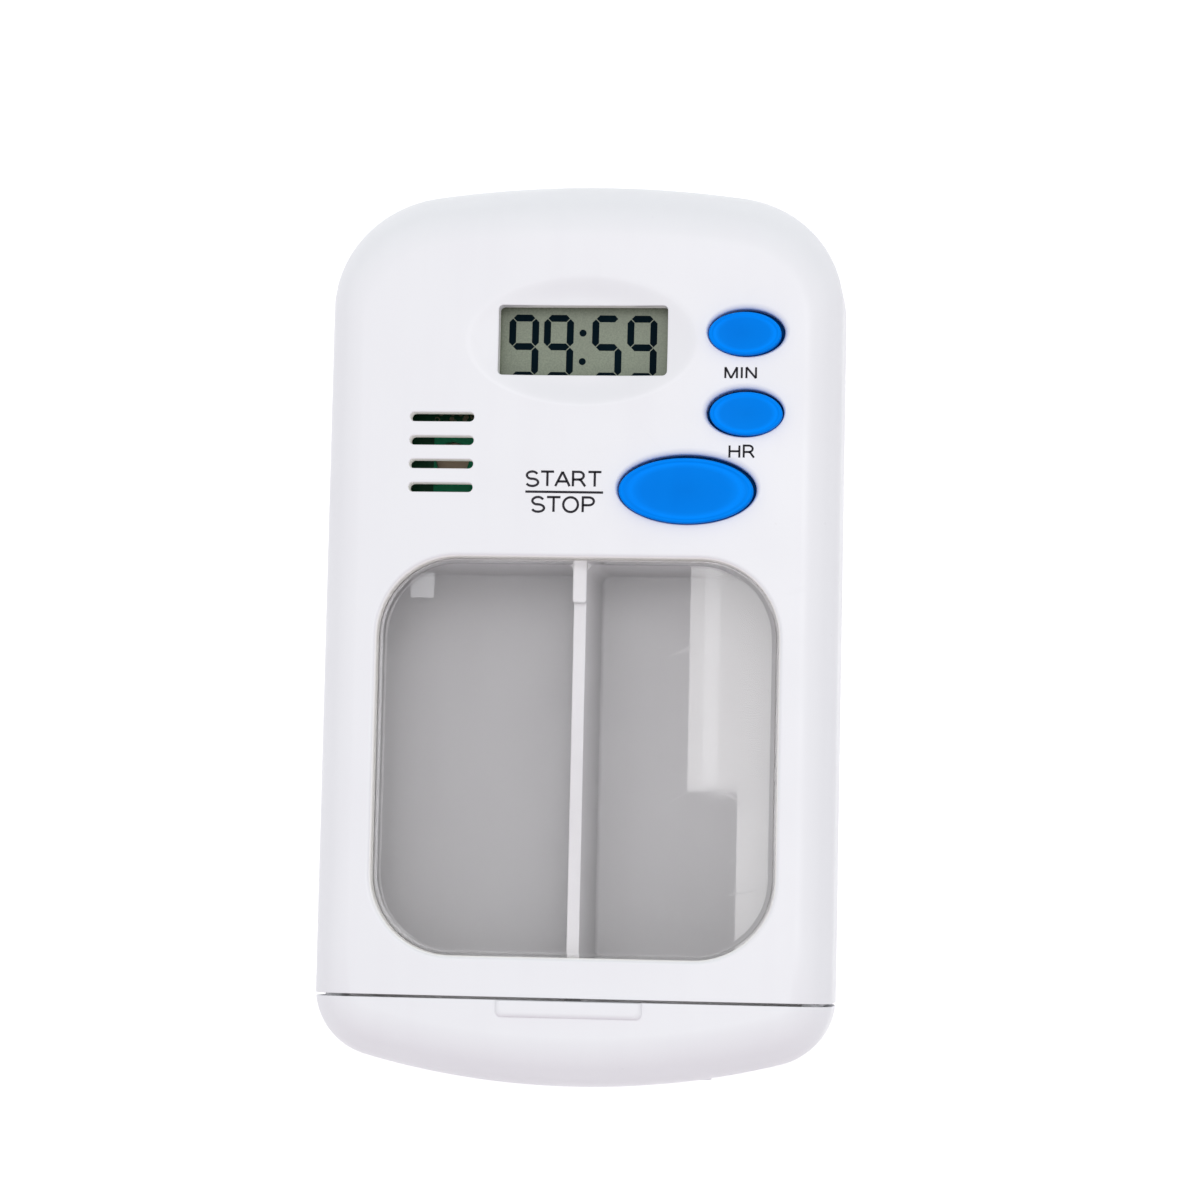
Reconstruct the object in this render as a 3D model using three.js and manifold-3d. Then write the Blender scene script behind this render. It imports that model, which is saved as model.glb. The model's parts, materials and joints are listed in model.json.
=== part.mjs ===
import * as THREE from "three";
import { mergeVertices } from "three/addons/utils/BufferGeometryUtils.js";
import Module from "manifold-3d";

const wasm = await Module();
wasm.setup();

// A pocket pill box with a timer, lying on its back. X runs across it, Y along it towards the display,
// and Z out of its face. Lengths are in millimetres.

// Case
const caseLength = 97;
const caseWidth = 55;
const caseThickness = 20;
const wall = 1.8;
const partingHeight = 8;
const topCornerRadius = 12.7;
const topCrownRadius = 118;
const capCornerRadius = 6.1;
const capCrownRadius = 87;
const sideRoll = 4;
const topRoll = 6.5;
const capRoll = 5.3;
const backRoll = 3;
const backDraft = 0.35;
const capLength = 9.3;
const capGap = 0.45;
const bayLength = 39.6;
const bulkheadThickness = 1.2;

// Clearances
const clearance = 0.3;
const overrun = 1;

// Smoothness
const cornerSteps = 6;
const crownSteps = 8;
const rollSteps = 4;
const ovalSteps = 28;
const turnSteps = 28;
const smallTurnSteps = 12;
const smallRadius = 2.8;

// Places that several pieces share
const topEnd = caseLength / 2;
const capEnd = -caseLength / 2;
const halfWidth = caseWidth / 2;
const innerHalfWidth = halfWidth - wall;
const innerFace = caseThickness - wall;
const capRim = capEnd + capLength;
const drawerMouth = capRim + capGap;
const bulkheadFront = topEnd - bayLength;
const bulkheadBack = bulkheadFront + bulkheadThickness;

// Materials
const materials = {
  shell: finish(0xf1f2f5, 0.38, 0),
  tray: finish(0xe9e6e4, 0.45, 0),
  blue: finish(0x0078e8, 0.35, 0),
  clear: finish(0xe8f0f4, 0.08, 0),
  glass: finish(0x9aa58c, 0.15, 0),
  film: finish(0x96a186, 0.3, 0),
  rubber: finish(0xb9bdb8, 0.7, 0),
  darkRubber: finish(0x2a2a2c, 0.8, 0),
  board: finish(0x0b5a35, 0.45, 0),
  black: finish(0x1b1b1d, 0.5, 0),
  ceramic: finish(0xe6dfd0, 0.5, 0),
  brass: finish(0xc9a45c, 0.3, 1),
  steel: finish(0xb9bcc2, 0.3, 1),
  redWire: finish(0xb0211c, 0.5, 0),
};

function finish(color, roughness, metalness) {
  return new THREE.MeshStandardMaterial({ color, roughness, metalness });
}

// Solids

// A closed geometry as a solid, with its faces pointing out.
function solid(geometry) {
  geometry.deleteAttribute("normal");
  geometry.deleteAttribute("uv");
  const merged = mergeVertices(geometry);
  const places = merged.attributes.position.array;
  const corner = (index) => new THREE.Vector3().fromArray(places, 3 * index);
  const faces = [];
  let volume = 0;
  for (let start = 0; start < merged.index.count; start += 3) {
    const [a, b, c] = merged.index.array.slice(start, start + 3);
    if (a === b || b === c || c === a) continue;
    faces.push([a, b, c]);
    volume += corner(a).dot(corner(b).cross(corner(c)));
  }
  const outward = volume > 0 ? faces : faces.map(([a, b, c]) => [a, c, b]);
  const triVerts = Uint32Array.from(outward.flat());
  const vertProperties = Float32Array.from(places);
  return new wasm.Manifold(new wasm.Mesh({ numProp: 3, vertProperties, triVerts }));
}

// Rings of points, one above the other, joined by walls and closed by a flat face at each end.
function loft(rings) {
  const count = rings[0].length;
  const index = [];
  for (let level = 0; level + 1 < rings.length; level += 1) {
    for (let point = 0; point < count; point += 1) {
      const next = (point + 1) % count;
      const here = level * count + point;
      const beside = level * count + next;
      index.push(here, beside, beside + count, here, beside + count, here + count);
    }
  }
  const last = (rings.length - 1) * count;
  const flat = rings[0].map(([x, y]) => new THREE.Vector2(x, y));
  for (const [a, b, c] of THREE.ShapeUtils.triangulateShape(flat, [])) {
    index.push(a, c, b);
    index.push(last + a, last + b, last + c);
  }
  const geometry = new THREE.BufferGeometry();
  geometry.setAttribute("position", new THREE.Float32BufferAttribute(rings.flat(2), 3));
  geometry.setIndex(index);
  return solid(geometry);
}

function block(lowCorner, highCorner) {
  const low = new THREE.Vector3(...lowCorner);
  const high = new THREE.Vector3(...highCorner);
  const size = high.clone().sub(low);
  const middle = low.add(high).divideScalar(2);
  return solid(new THREE.BoxGeometry(size.x, size.y, size.z).translate(middle.x, middle.y, middle.z));
}

// The part of everything that lies between two heights.
function slab(low, high) {
  return block([-caseWidth, -caseLength, low], [caseWidth, caseLength, high]);
}

// A profile of radii and heights turned about an upright axis.
function turned(profile, [x, y], steps = turnSteps) {
  const points = profile.map(([radius, height]) => new THREE.Vector2(radius, height));
  return solid(new THREE.LatheGeometry(points, steps).rotateX(Math.PI / 2).translate(x, y, 0));
}

function rod(radius, place, low, high) {
  const steps = radius < smallRadius ? smallTurnSteps : turnSteps;
  return turned([[0, low], [radius, low], [radius, high], [0, high]], place, steps);
}

function ovalRing([x, y], halfX, halfY, height) {
  const ring = [];
  for (let step = 0; step < ovalSteps; step += 1) {
    const angle = 2 * Math.PI * step / ovalSteps;
    ring.push([x + halfX * Math.cos(angle), y + halfY * Math.sin(angle), height]);
  }
  return ring;
}

// An upright oval body, from levels of inset and height.
function ovalStack(place, halfX, halfY, levels) {
  return loft(levels.map(([inset, height]) => ovalRing(place, halfX - inset, halfY - inset, height)));
}

// A rectangle with round corners, drawn in by an inset.
function roundedRing({ left, right, front, back, corner }, inset, height) {
  const radius = Math.max(corner - inset, corner / 4);
  const turns = [[1, 1], [-1, 1], [-1, -1], [1, -1]];
  return turns.flatMap(([sideX, sideY], quarter) => {
    const centreX = (sideX > 0 ? right : left) - sideX * (inset + radius);
    const centreY = (sideY > 0 ? back : front) - sideY * (inset + radius);
    return Array.from({ length: cornerSteps + 1 }, (_, step) => {
      const angle = (quarter + step / cornerSteps) * Math.PI / 2;
      return [centreX + radius * Math.cos(angle), centreY + radius * Math.sin(angle), height];
    });
  });
}

function roundedPlate(outline, low, high) {
  return loft([roundedRing(outline, 0, low), roundedRing(outline, 0, high)]);
}

// A rectangle grown on every side by the same margin, with its corners to match.
function grown({ left, right, front, back, corner }, margin) {
  return {
    left: left - margin,
    right: right + margin,
    front: front - margin,
    back: back + margin,
    corner: corner + margin,
  };
}

function addMesh(name, shape, material) {
  const { vertProperties, triVerts } = shape.getMesh();
  const geometry = new THREE.BufferGeometry();
  geometry.setAttribute("position", new THREE.BufferAttribute(vertProperties, 3));
  geometry.setIndex(new THREE.BufferAttribute(triVerts, 1));
  geometry.computeVertexNormals();
  const mesh = new THREE.Mesh(geometry, material);
  mesh.name = name;
  group.add(mesh);
}

const group = new THREE.Group();

// Outer form

// One crowned end in plan, from the right side over the middle to the left. Each point also carries how
// squarely it faces the end, from 0 on the side to 1.
function endOutline(half, reach, cornerRadius, crownRadius) {
  const cornerX = half - cornerRadius;
  const lean = Math.asin(cornerX / (crownRadius - cornerRadius));
  const crownY = reach - crownRadius;
  const cornerY = crownY + (crownRadius - cornerRadius) * Math.cos(lean);
  const corner = [];
  for (let step = 0; step <= cornerSteps; step += 1) {
    const angle = (Math.PI / 2 - lean) * step / cornerSteps;
    const x = cornerX + cornerRadius * Math.cos(angle);
    const y = cornerY + cornerRadius * Math.sin(angle);
    corner.push([x, y, Math.sin(angle) ** 2]);
  }
  const crown = [];
  for (let step = 1; step < crownSteps; step += 1) {
    const angle = Math.PI / 2 - lean + 2 * lean * step / crownSteps;
    const x = crownRadius * Math.cos(angle);
    const y = crownY + crownRadius * Math.sin(angle);
    crown.push([x, y, Math.sin(angle) ** 2]);
  }
  const farCorner = corner.map(([x, y, squareness]) => [-x, y, squareness]).reverse();
  return [...corner, ...crown, ...farCorner];
}

// The whole outline, drawn in by its own amount at the sides, the top and the cap. Each point also carries
// how squarely it faces the top, and how squarely the cap.
function planOutline(sideInset, topInset, capInset) {
  const half = halfWidth - sideInset;
  const top = endOutline(half, topEnd - topInset, topCornerRadius - sideInset, topCrownRadius - topInset);
  const cap = endOutline(half, topEnd - capInset, capCornerRadius - sideInset, capCrownRadius - capInset);
  const topPoints = top.map(([x, y, squareness]) => [x, y, squareness, 0]);
  const capPoints = cap.map(([x, y, squareness]) => [-x, -y, 0, squareness]);
  return [...topPoints, ...capPoints];
}

// The whole outer form, or the same form drawn in by a wall: a small round edge at the back, sides that
// lean out by a draft up to the parting line and stand straight above it, and a round front edge that
// grows from the sides to the ends.
function envelope(inset, draft = 0) {
  const rings = [];
  const back = backRoll - inset;
  const side = sideRoll - inset;
  const top = topRoll - inset;
  const cap = capRoll - inset;
  for (let step = rollSteps; step >= 0; step -= 1) {
    const angle = Math.PI / 2 * step / rollSteps;
    const draw = inset + draft + back * (1 - Math.cos(angle));
    const height = inset + back * (1 - Math.sin(angle));
    rings.push(planOutline(draw, draw, draw).map(([x, y]) => [x, y, height]));
  }
  if (draft > 0) rings.push(planOutline(inset, inset, inset).map(([x, y]) => [x, y, partingHeight]));
  for (let step = 0; step <= rollSteps; step += 1) {
    const angle = Math.PI / 2 * step / rollSteps;
    const drawn = 1 - Math.cos(angle);
    const outline = planOutline(inset + side * drawn, inset + top * drawn, inset + cap * drawn);
    rings.push(outline.map(([x, y, topSquareness, capSquareness]) => {
      const roll = side + (top - side) * topSquareness + (cap - side) * capSquareness;
      return [x, y, caseThickness - inset - roll * (1 - Math.sin(angle))];
    }));
  }
  return loft(rings);
}

const outerForm = envelope(0, backDraft);

// What lies on the display's side of a line across the case, or on the cap's side.
function beyond(y) {
  return block([-caseWidth, y, -overrun], [caseWidth, caseLength, caseThickness + overrun]);
}

function before(y) {
  return block([-caseWidth, -caseLength, -overrun], [caseWidth, y, caseThickness + overrun]);
}

// Display sizes and places
const glassFromTop = 13.25;
const frontGlassHeight = 10.2;
const glassLedge = 1.9;
const timeButtonFromSide = 10.1;
const timeButtonFromHolder = 5.4;
const apertureSideMargin = 1.8;
const apertureBackMargin = 0.9;
const apertureFrontMargin = 0.2;
const apertureCorner = 0.5;
const glassThickness = 0.7;
const filmThickness = 0.2;
const holderLip = 0.55;
const holderWall = 0.9;
const timeButtonX = halfWidth - timeButtonFromSide;
const holderRight = timeButtonX - timeButtonFromHolder;
const glassRight = holderRight - holderWall - clearance;
const apertureRight = glassRight - apertureSideMargin;
const holderTop = innerFace - clearance;
const displayTop = holderTop - holderLip - clearance;
const frontGlassTop = displayTop - filmThickness;
const rearGlassTop = frontGlassTop - glassThickness;
const reflectorTop = rearGlassTop - glassThickness;
const glass = {
  left: -glassRight,
  right: glassRight,
  front: topEnd - glassFromTop - frontGlassHeight,
  back: topEnd - glassFromTop,
};
const rearGlassFront = glass.front + glassLedge;
const aperture = {
  left: -apertureRight,
  right: apertureRight,
  front: rearGlassFront + apertureFrontMargin,
  back: glass.back - apertureBackMargin,
  corner: apertureCorner,
};
const displayY = (aperture.front + aperture.back) / 2;
const holder = {
  left: -holderRight,
  right: holderRight,
  front: glass.front - clearance - holderWall,
  back: glass.back + clearance + holderWall,
};

// Circuit board sizes and places
const boardBelowFace = 8.4;
const boardThickness = 1.2;
const boardMargin = 0.8;
const boardBeyondHolder = 0.4;
const boardCorner = 1;
const boardTop = caseThickness - boardBelowFace;
const boardBottom = boardTop - boardThickness;
const boardOutline = {
  left: -innerHalfWidth + boardMargin,
  right: innerHalfWidth - boardMargin,
  front: bulkheadBack + boardMargin,
  back: holder.back + boardBeyondHolder,
  corner: boardCorner,
};

// Buttons: place and half sizes of each hole in the face
const minFromTop = 16.81;
const hourFromMin = 8.56;
const timeHoleHalfX = 4.1;
const timeHoleHalfY = 2.56;
const startBesideHour = 6.03;
const startBelowHour = 8.22;
const startHoleHalfX = 7.38;
const startHoleHalfY = 3.72;
const minPlace = [timeButtonX, topEnd - minFromTop];
const hourPlace = [timeButtonX, minPlace[1] - hourFromMin];
const startPlace = [hourPlace[0] - startBesideHour, hourPlace[1] - startBelowHour];
const buttons = [
  { name: "min", place: minPlace, halfX: timeHoleHalfX, halfY: timeHoleHalfY },
  { name: "hr", place: hourPlace, halfX: timeHoleHalfX, halfY: timeHoleHalfY },
  { name: "start_stop", place: startPlace, halfX: startHoleHalfX, halfY: startHoleHalfY },
];

// Case screws: two at the top corners and two beside the bulkhead
const screwRadius = 1;
const screwHeadRadius = 1.9;
const screwHeadHeight = 1.5;
const screwRecess = 3.2;
const screwReach = 8.8;
const backBossRadius = 3.4;
const frontBossRadius = 2.6;
const screwHoleRadius = screwRadius + clearance;
const topScrewFromSide = 7.9;
const topScrewFromTop = 8.9;
const lowScrewFromSide = 5;
const lowScrewFromBulkhead = 3;
const topScrewPlace = [halfWidth - topScrewFromSide, topEnd - topScrewFromTop];
const lowScrewPlace = [halfWidth - lowScrewFromSide, bulkheadBack + lowScrewFromBulkhead];
const caseScrewPlaces = [topScrewPlace, lowScrewPlace].flatMap(([x, y]) => [[x, y], [-x, y]]);

// Board screws
const boardScrewRadius = 0.8;
const boardScrewHeadRadius = 1.6;
const boardScrewHeadHeight = 1;
const boardScrewReach = 4.5;
const boardBossRadius = 1.9;
const boardScrewFromEdge = 3.2;
const boardScrewFromBack = 5;
const sideScrewFromEdge = 1.9;
const midScrewFromStart = 7;
const boardHoleRadius = boardScrewRadius + clearance;
const boardScrewPlaces = [
  [boardOutline.left + boardScrewFromEdge, boardOutline.back - boardScrewFromBack],
  [boardOutline.right - sideScrewFromEdge, (minPlace[1] + hourPlace[1]) / 2],
  [startPlace[0] - startHoleHalfX - midScrewFromStart, boardOutline.front + boardScrewFromEdge],
];

// Window and drawer
const windowSideMargin = 6.1;
const windowTopMargin = 1.37;
const windowLip = 4.08;
const windowCorner = 8.5;
const windowFlange = 1;
const windowFlangeThickness = 0.6;
const windowDrop = 0.3;
const mouthLipLength = 2.75;
const mouthLipDepth = 1.45;
const traySideGap = 0.4;
const trayWall = 1.2;
const trayFloor = 1.4;
const trayDivider = 1.2;
const trayCorner = 2.2;
const trayChamfer = 1.2;
const trayDraft = 0.3;
const trayTopDrop = 0.35;
const trayFrontPastRim = 1.8;
const lugWidth = 1.4;
const lugLength = 5;
const lugFromBack = 0.7;
const lensOpening = {
  left: -halfWidth + windowSideMargin,
  right: halfWidth - windowSideMargin,
  front: drawerMouth + windowLip,
  back: bulkheadFront - windowTopMargin,
  corner: windowCorner,
};
const lensBottom = innerFace - windowFlangeThickness;
const lugTop = lensBottom - clearance;
const mouthLipBottom = innerFace - mouthLipDepth;
const trayTop = mouthLipBottom - trayTopDrop;
const trayBottom = wall + clearance;
const tray = {
  left: -innerHalfWidth + traySideGap,
  right: innerHalfWidth - traySideGap,
  front: capRim - trayFrontPastRim,
  back: bulkheadFront - clearance,
  corner: trayCorner,
};

// Battery: a standard button cell behind a door with two bayonet lugs
const cellRadius = 5.8;
const cellHeight = 5.4;
const doorThickness = 1.3;
const doorRingWall = 1.3;
const doorRingHeight = 1.6;
const lugReach = 1.5;
const doorLugThickness = 0.8;
const doorLugWidth = 5;
const ledgeThickness = 1.2;
const pocketWall = 1.2;
const cellSideGap = 0.4;
const contactWidth = 3;
const contactThickness = 0.25;
const batteryFromRight = 18.5;
const batteryFromTop = 25.5;
const batteryPlace = [halfWidth - batteryFromRight, topEnd - batteryFromTop];
const cellBottom = doorThickness + clearance;
const cellTop = cellBottom + cellHeight;
const doorRadius = cellRadius + cellSideGap + doorRingWall;
const doorHoleRadius = doorRadius + clearance;
const doorLugRadius = doorRadius + lugReach;
const doorRingTop = doorThickness + doorRingHeight;
const lugRoomRadius = doorLugRadius + clearance;
const lugRoomTop = doorRingTop + clearance;
const entryAngle = Math.PI / 4;

// Buzzer
const buzzerDiscRadius = 7.5;
const buzzerDiscThickness = 0.2;
const buzzerCeramicRadius = 5;
const buzzerCeramicThickness = 0.2;
const buzzerSeatOuter = 7.1;
const buzzerSeatInner = 5.9;
const buzzerBelowBoard = 2.1;
const buzzerFromLeft = 13.5;
const buzzerFromTop = 28.5;
const buzzerPlace = [-halfWidth + buzzerFromLeft, topEnd - buzzerFromTop];
const buzzerSeatTop = boardBottom - buzzerBelowBoard;
const discTop = buzzerSeatTop + buzzerDiscThickness;
const ceramicTop = discTop + buzzerCeramicThickness;

// Sound slots
const slotCount = 4;
const slotLength = 6.9;
const slotWidth = 1;
const slotPitch = 2.52;
const slotFromLeft = 12.57;
const firstSlotFromTop = 26.04;
const soundHoleRadius = 1.9;
const soundHoleBehindMiddle = 0.3;
const slotX = -halfWidth + slotFromLeft;
const firstSlotY = topEnd - firstSlotFromTop;

// Button depths
const buttonGap = 0.25;
const flangeLap = 0.7;
const flangeThickness = 0.8;
const buttonProud = 0.8;
const buttonEdge = 0.5;
const buttonTravel = 0.7;
const stemRadius = 1.7;
const domeBaseRadius = 3.2;
const domeBaseHeight = 0.6;
const domeTopRadius = 1.9;
const domeHeight = 3;
const domeWall = 0.6;
const domeRoof = 1.4;
const pillRadius = 1.1;
const pillThickness = 0.5;
const pillGap = 0.15;
const domeTop = boardTop + domeHeight;
const pillBottom = boardTop + buttonTravel + pillGap;

// Tongue on the drawer's cap, which closes the gap round the mouth at the sides and the back
const tongueInset = 1;
const tongueLength = 0.9;
const tongueTop = innerFace - clearance;

function capTongue() {
  const ring = envelope(tongueInset).intersect(slab(-overrun, tongueTop));
  return ring.intersect(before(capRim + tongueLength));
}

// The step round the inside of the mouth that the tongue enters when the drawer is shut.
function mouthRebate() {
  const ring = envelope(tongueInset - clearance).subtract(envelope(wall + clearance));
  return ring.intersect(slab(-overrun, innerFace)).intersect(before(capRim + tongueLength + clearance));
}

// Front shell

// A raised bar across the inside of the case, trimmed to stay within the thickness of the wall.
function crossBar(front, back, low, high) {
  return block([-halfWidth, front, low], [halfWidth, back, high]).intersect(envelope(wall / 2));
}

const rebateInset = 0.9;
const rebateHeight = 1.3;
const bevel = 0.5;
const dishBesideAperture = 3.75;
const dishBeyondAperture = 3.6;
const dishDepth = 0.5;
const dishLevelShares = [[1.04, -0.2], [0.93, 0.45], [0.82, 0.8], [0.66, 1]];

function displayDish() {
  const halfX = apertureRight + dishBesideAperture;
  const halfY = aperture.back - displayY + dishBeyondAperture;
  return loft(dishLevelShares.map(([widthShare, depthShare]) => {
    const height = caseThickness - dishDepth * depthShare;
    return ovalRing([0, displayY], halfX * widthShare, halfY * widthShare, height);
  }));
}

function bevelledOpening(outline) {
  return loft([
    roundedRing(outline, 0, innerFace - overrun),
    roundedRing(outline, 0, caseThickness - bevel),
    roundedRing(grown(outline, bevel), 0, caseThickness),
    roundedRing(grown(outline, bevel), 0, caseThickness + overrun),
  ]);
}

function soundSlot(number) {
  const y = firstSlotY - number * slotPitch;
  const outline = {
    left: slotX - slotLength / 2,
    right: slotX + slotLength / 2,
    front: y - slotWidth / 2,
    back: y + slotWidth / 2,
    corner: slotWidth / 2,
  };
  return roundedPlate(outline, innerFace - overrun, caseThickness + overrun);
}

function frontShell() {
  let shell = outerForm.subtract(envelope(wall));
  shell = shell.subtract(envelope(rebateInset).intersect(slab(0, partingHeight + rebateHeight)));
  const intoFace = innerFace + wall / 2;
  shell = shell.add(crossBar(bulkheadFront, bulkheadBack, partingHeight + rebateHeight, intoFace));
  shell = shell.add(crossBar(drawerMouth, drawerMouth + mouthLipLength, mouthLipBottom, intoFace));
  for (const place of caseScrewPlaces) {
    shell = shell.add(rod(frontBossRadius, place, partingHeight, intoFace));
  }
  for (const place of boardScrewPlaces) {
    shell = shell.add(rod(boardBossRadius, place, boardTop, intoFace));
  }
  shell = shell.subtract(mouthRebate());
  shell = shell.subtract(displayDish());
  shell = shell.subtract(roundedPlate(aperture, innerFace - overrun, caseThickness + overrun));
  shell = shell.subtract(bevelledOpening(lensOpening));
  for (const { place, halfX, halfY } of buttons) {
    const levels = [[0, innerFace - overrun], [0, caseThickness + overrun]];
    shell = shell.subtract(ovalStack(place, halfX, halfY, levels));
  }
  for (let number = 0; number < slotCount; number += 1) {
    shell = shell.subtract(soundSlot(number));
  }
  for (const place of caseScrewPlaces) {
    shell = shell.subtract(rod(screwHoleRadius, place, 0, screwRecess + screwReach + clearance));
  }
  for (const place of boardScrewPlaces) {
    shell = shell.subtract(rod(boardHoleRadius, place, 0, boardTop + boardScrewReach + clearance));
  }
  return shell.intersect(slab(partingHeight, caseThickness + overrun)).intersect(beyond(drawerMouth));
}

addMesh("front_shell", frontShell(), materials.shell);

// Back shell

// The skin, with a locating rim that stands inside the front shell's edge. The rim is left out where the
// bulkhead crosses it.
function backSkin() {
  const rimTop = partingHeight + rebateHeight - clearance;
  const rim = envelope(rebateInset + clearance).intersect(slab(0, rimTop));
  const room = block(
    [-caseWidth, bulkheadFront - clearance, partingHeight],
    [caseWidth, bulkheadBack + clearance, partingHeight + rebateHeight],
  );
  const body = outerForm.intersect(slab(-overrun, partingHeight)).add(rim);
  return body.subtract(envelope(wall)).subtract(room);
}

// A round pocket that holds the cell, over a wider room in which the door's lugs turn.
function batteryPocket() {
  const roomWall = lugRoomRadius + pocketWall;
  const pocketRadius = cellRadius + cellSideGap;
  const pocketTop = cellTop + clearance;
  const pocket = turned([
    [lugRoomRadius, wall / 2],
    [roomWall, wall / 2],
    [roomWall, lugRoomTop + ledgeThickness],
    [pocketRadius + pocketWall, lugRoomTop + ledgeThickness],
    [pocketRadius + pocketWall, pocketTop],
    [pocketRadius, pocketTop],
    [pocketRadius, lugRoomTop],
    [lugRoomRadius, lugRoomTop],
    [lugRoomRadius, wall / 2],
  ], batteryPlace);
  const [x, y] = batteryPlace;
  const notch = block(
    [x, y - contactWidth / 2 - clearance, lugRoomTop + ledgeThickness],
    [x + roomWall, y + contactWidth / 2 + clearance, pocketTop + overrun],
  );
  return pocket.subtract(notch);
}

// The door's two entry notches, seen at an angle to where the lugs lie when it is locked.
function doorOpening() {
  const [x, y] = batteryPlace;
  const reach = lugRoomRadius;
  const half = doorLugWidth / 2 + clearance;
  const hole = rod(doorHoleRadius, batteryPlace, -overrun, wall + overrun);
  const notch = new THREE.BoxGeometry(2 * reach, 2 * half, 2 * wall).rotateZ(entryAngle).translate(x, y, 0);
  const inReach = rod(reach, batteryPlace, -overrun, wall);
  return hole.add(solid(notch).intersect(inReach));
}

function buzzerSeat() {
  return turned([
    [buzzerSeatInner, wall / 2],
    [buzzerSeatOuter, wall / 2],
    [buzzerSeatOuter, buzzerSeatTop],
    [buzzerSeatInner, buzzerSeatTop],
    [buzzerSeatInner, wall / 2],
  ], buzzerPlace);
}

function backShell() {
  let shell = backSkin();
  shell = shell.add(crossBar(bulkheadFront, bulkheadBack, wall / 2, partingHeight));
  for (const place of caseScrewPlaces) {
    shell = shell.add(rod(backBossRadius, place, wall / 2, partingHeight - clearance));
  }
  shell = shell.add(batteryPocket());
  shell = shell.add(buzzerSeat());
  for (const place of caseScrewPlaces) {
    shell = shell.subtract(rod(screwHeadRadius + clearance, place, -overrun, screwRecess));
    shell = shell.subtract(rod(screwHoleRadius, place, 0, partingHeight));
  }
  shell = shell.subtract(doorOpening()).subtract(mouthRebate());
  return shell.intersect(beyond(drawerMouth));
}

addMesh("back_shell", backShell(), materials.shell);

// Window

function windowLens() {
  const flange = roundedPlate(grown(lensOpening, windowFlange), lensBottom, innerFace);
  const plug = loft([
    roundedRing(lensOpening, clearance, lensBottom),
    roundedRing(lensOpening, clearance, caseThickness - windowDrop - bevel),
    roundedRing(lensOpening, clearance + bevel, caseThickness - windowDrop),
  ]);
  return flange.add(plug);
}

addMesh("window_lens", windowLens(), materials.clear);

// Display

function glassPlate(front, low, high) {
  return block([glass.left, front, low], [glass.right, glass.back, high]);
}

function displayHolder() {
  const body = block([holder.left, holder.front, boardTop], [holder.right, holder.back, holderTop]);
  const pocket = block(
    [glass.left - clearance, glass.front - clearance, boardTop - overrun],
    [glass.right + clearance, glass.back + clearance, holderTop - holderLip],
  );
  const view = roundedPlate(grown(aperture, apertureCorner), boardTop, holderTop + overrun);
  return body.subtract(pocket).subtract(view);
}

const zebraWidth = glassLedge - 2 * clearance;
const zebra = block(
  [glass.left, glass.front, boardTop],
  [glass.right, glass.front + zebraWidth, rearGlassTop],
);

addMesh("lcd_holder", displayHolder(), materials.black);
const polariser = glassPlate(rearGlassFront, frontGlassTop, displayTop);
const reflector = glassPlate(rearGlassFront, reflectorTop - filmThickness, reflectorTop);
addMesh("lcd_front_polariser", polariser, materials.film);
addMesh("lcd_front_glass", glassPlate(glass.front, rearGlassTop, frontGlassTop), materials.glass);
addMesh("lcd_rear_glass", glassPlate(rearGlassFront, reflectorTop, rearGlassTop), materials.glass);
addMesh("lcd_rear_reflector", reflector, materials.film);
addMesh("lcd_zebra_strip", zebra, materials.darkRubber);

// Circuit board and what is soldered to its back

function circuitBoard() {
  let plate = roundedPlate(boardOutline, boardBottom, boardTop);
  const room = frontBossRadius + clearance;
  for (const place of caseScrewPlaces) {
    plate = plate.subtract(rod(room, place, 0, caseThickness));
  }
  const [screwX, screwY] = lowScrewPlace;
  const rightCorner = block([screwX, -caseLength, 0], [caseWidth, screwY + room, caseThickness]);
  const leftCorner = block([-caseWidth, -caseLength, 0], [-screwX, screwY + room, caseThickness]);
  plate = plate.subtract(rightCorner).subtract(leftCorner);
  for (const place of boardScrewPlaces) {
    plate = plate.subtract(rod(boardHoleRadius, place, 0, caseThickness));
  }
  const soundHole = [slotX, firstSlotY - (slotCount - 1) / 2 * slotPitch + soundHoleBehindMiddle];
  return plate.subtract(rod(soundHoleRadius, soundHole, 0, caseThickness));
}

addMesh("circuit_board", circuitBoard(), materials.board);

const chipRadius = 4.2;
const chipHeight = 1.3;
const chipFromMiddle = 3.4;
const chipPlace = [-chipFromMiddle, displayY];

function chipCoating() {
  const profile = [[0, boardBottom - chipHeight]];
  for (let step = 1; step <= rollSteps; step += 1) {
    const angle = Math.PI / 2 * step / rollSteps;
    profile.push([chipRadius * Math.sin(angle), boardBottom - chipHeight * Math.cos(angle)]);
  }
  profile.push([0, boardBottom]);
  return turned(profile, chipPlace);
}

addMesh("chip_coating", chipCoating(), materials.black);

// Small parts in a row beside the chip, each given by its size and how far along the row it lies
const rowFromChip = 6.5;
const rowFromEdge = 9;
const smallParts = [
  { name: "resistor_1", length: 2, width: 1.2, height: 0.5, material: materials.black },
  { name: "resistor_2", length: 2, width: 1.2, height: 0.5, material: materials.black },
  { name: "capacitor_1", length: 2, width: 1.3, height: 0.9, material: materials.ceramic },
  { name: "capacitor_2", length: 2, width: 1.3, height: 0.9, material: materials.ceramic },
  { name: "driver_transistor", length: 2.9, width: 1.4, height: 1.1, material: materials.black },
];
const rowStart = chipPlace[0] + rowFromChip;
const rowPitch = (boardOutline.right - rowFromEdge - rowStart) / (smallParts.length - 1);
smallParts.forEach(({ name, length, width, height, material }, number) => {
  const x = rowStart + number * rowPitch;
  const y = chipPlace[1] + chipRadius - width;
  const low = [x - width / 2, y - length / 2, boardBottom - height];
  addMesh(name, block(low, [x + width / 2, y + length / 2, boardBottom]), material);
});

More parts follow.
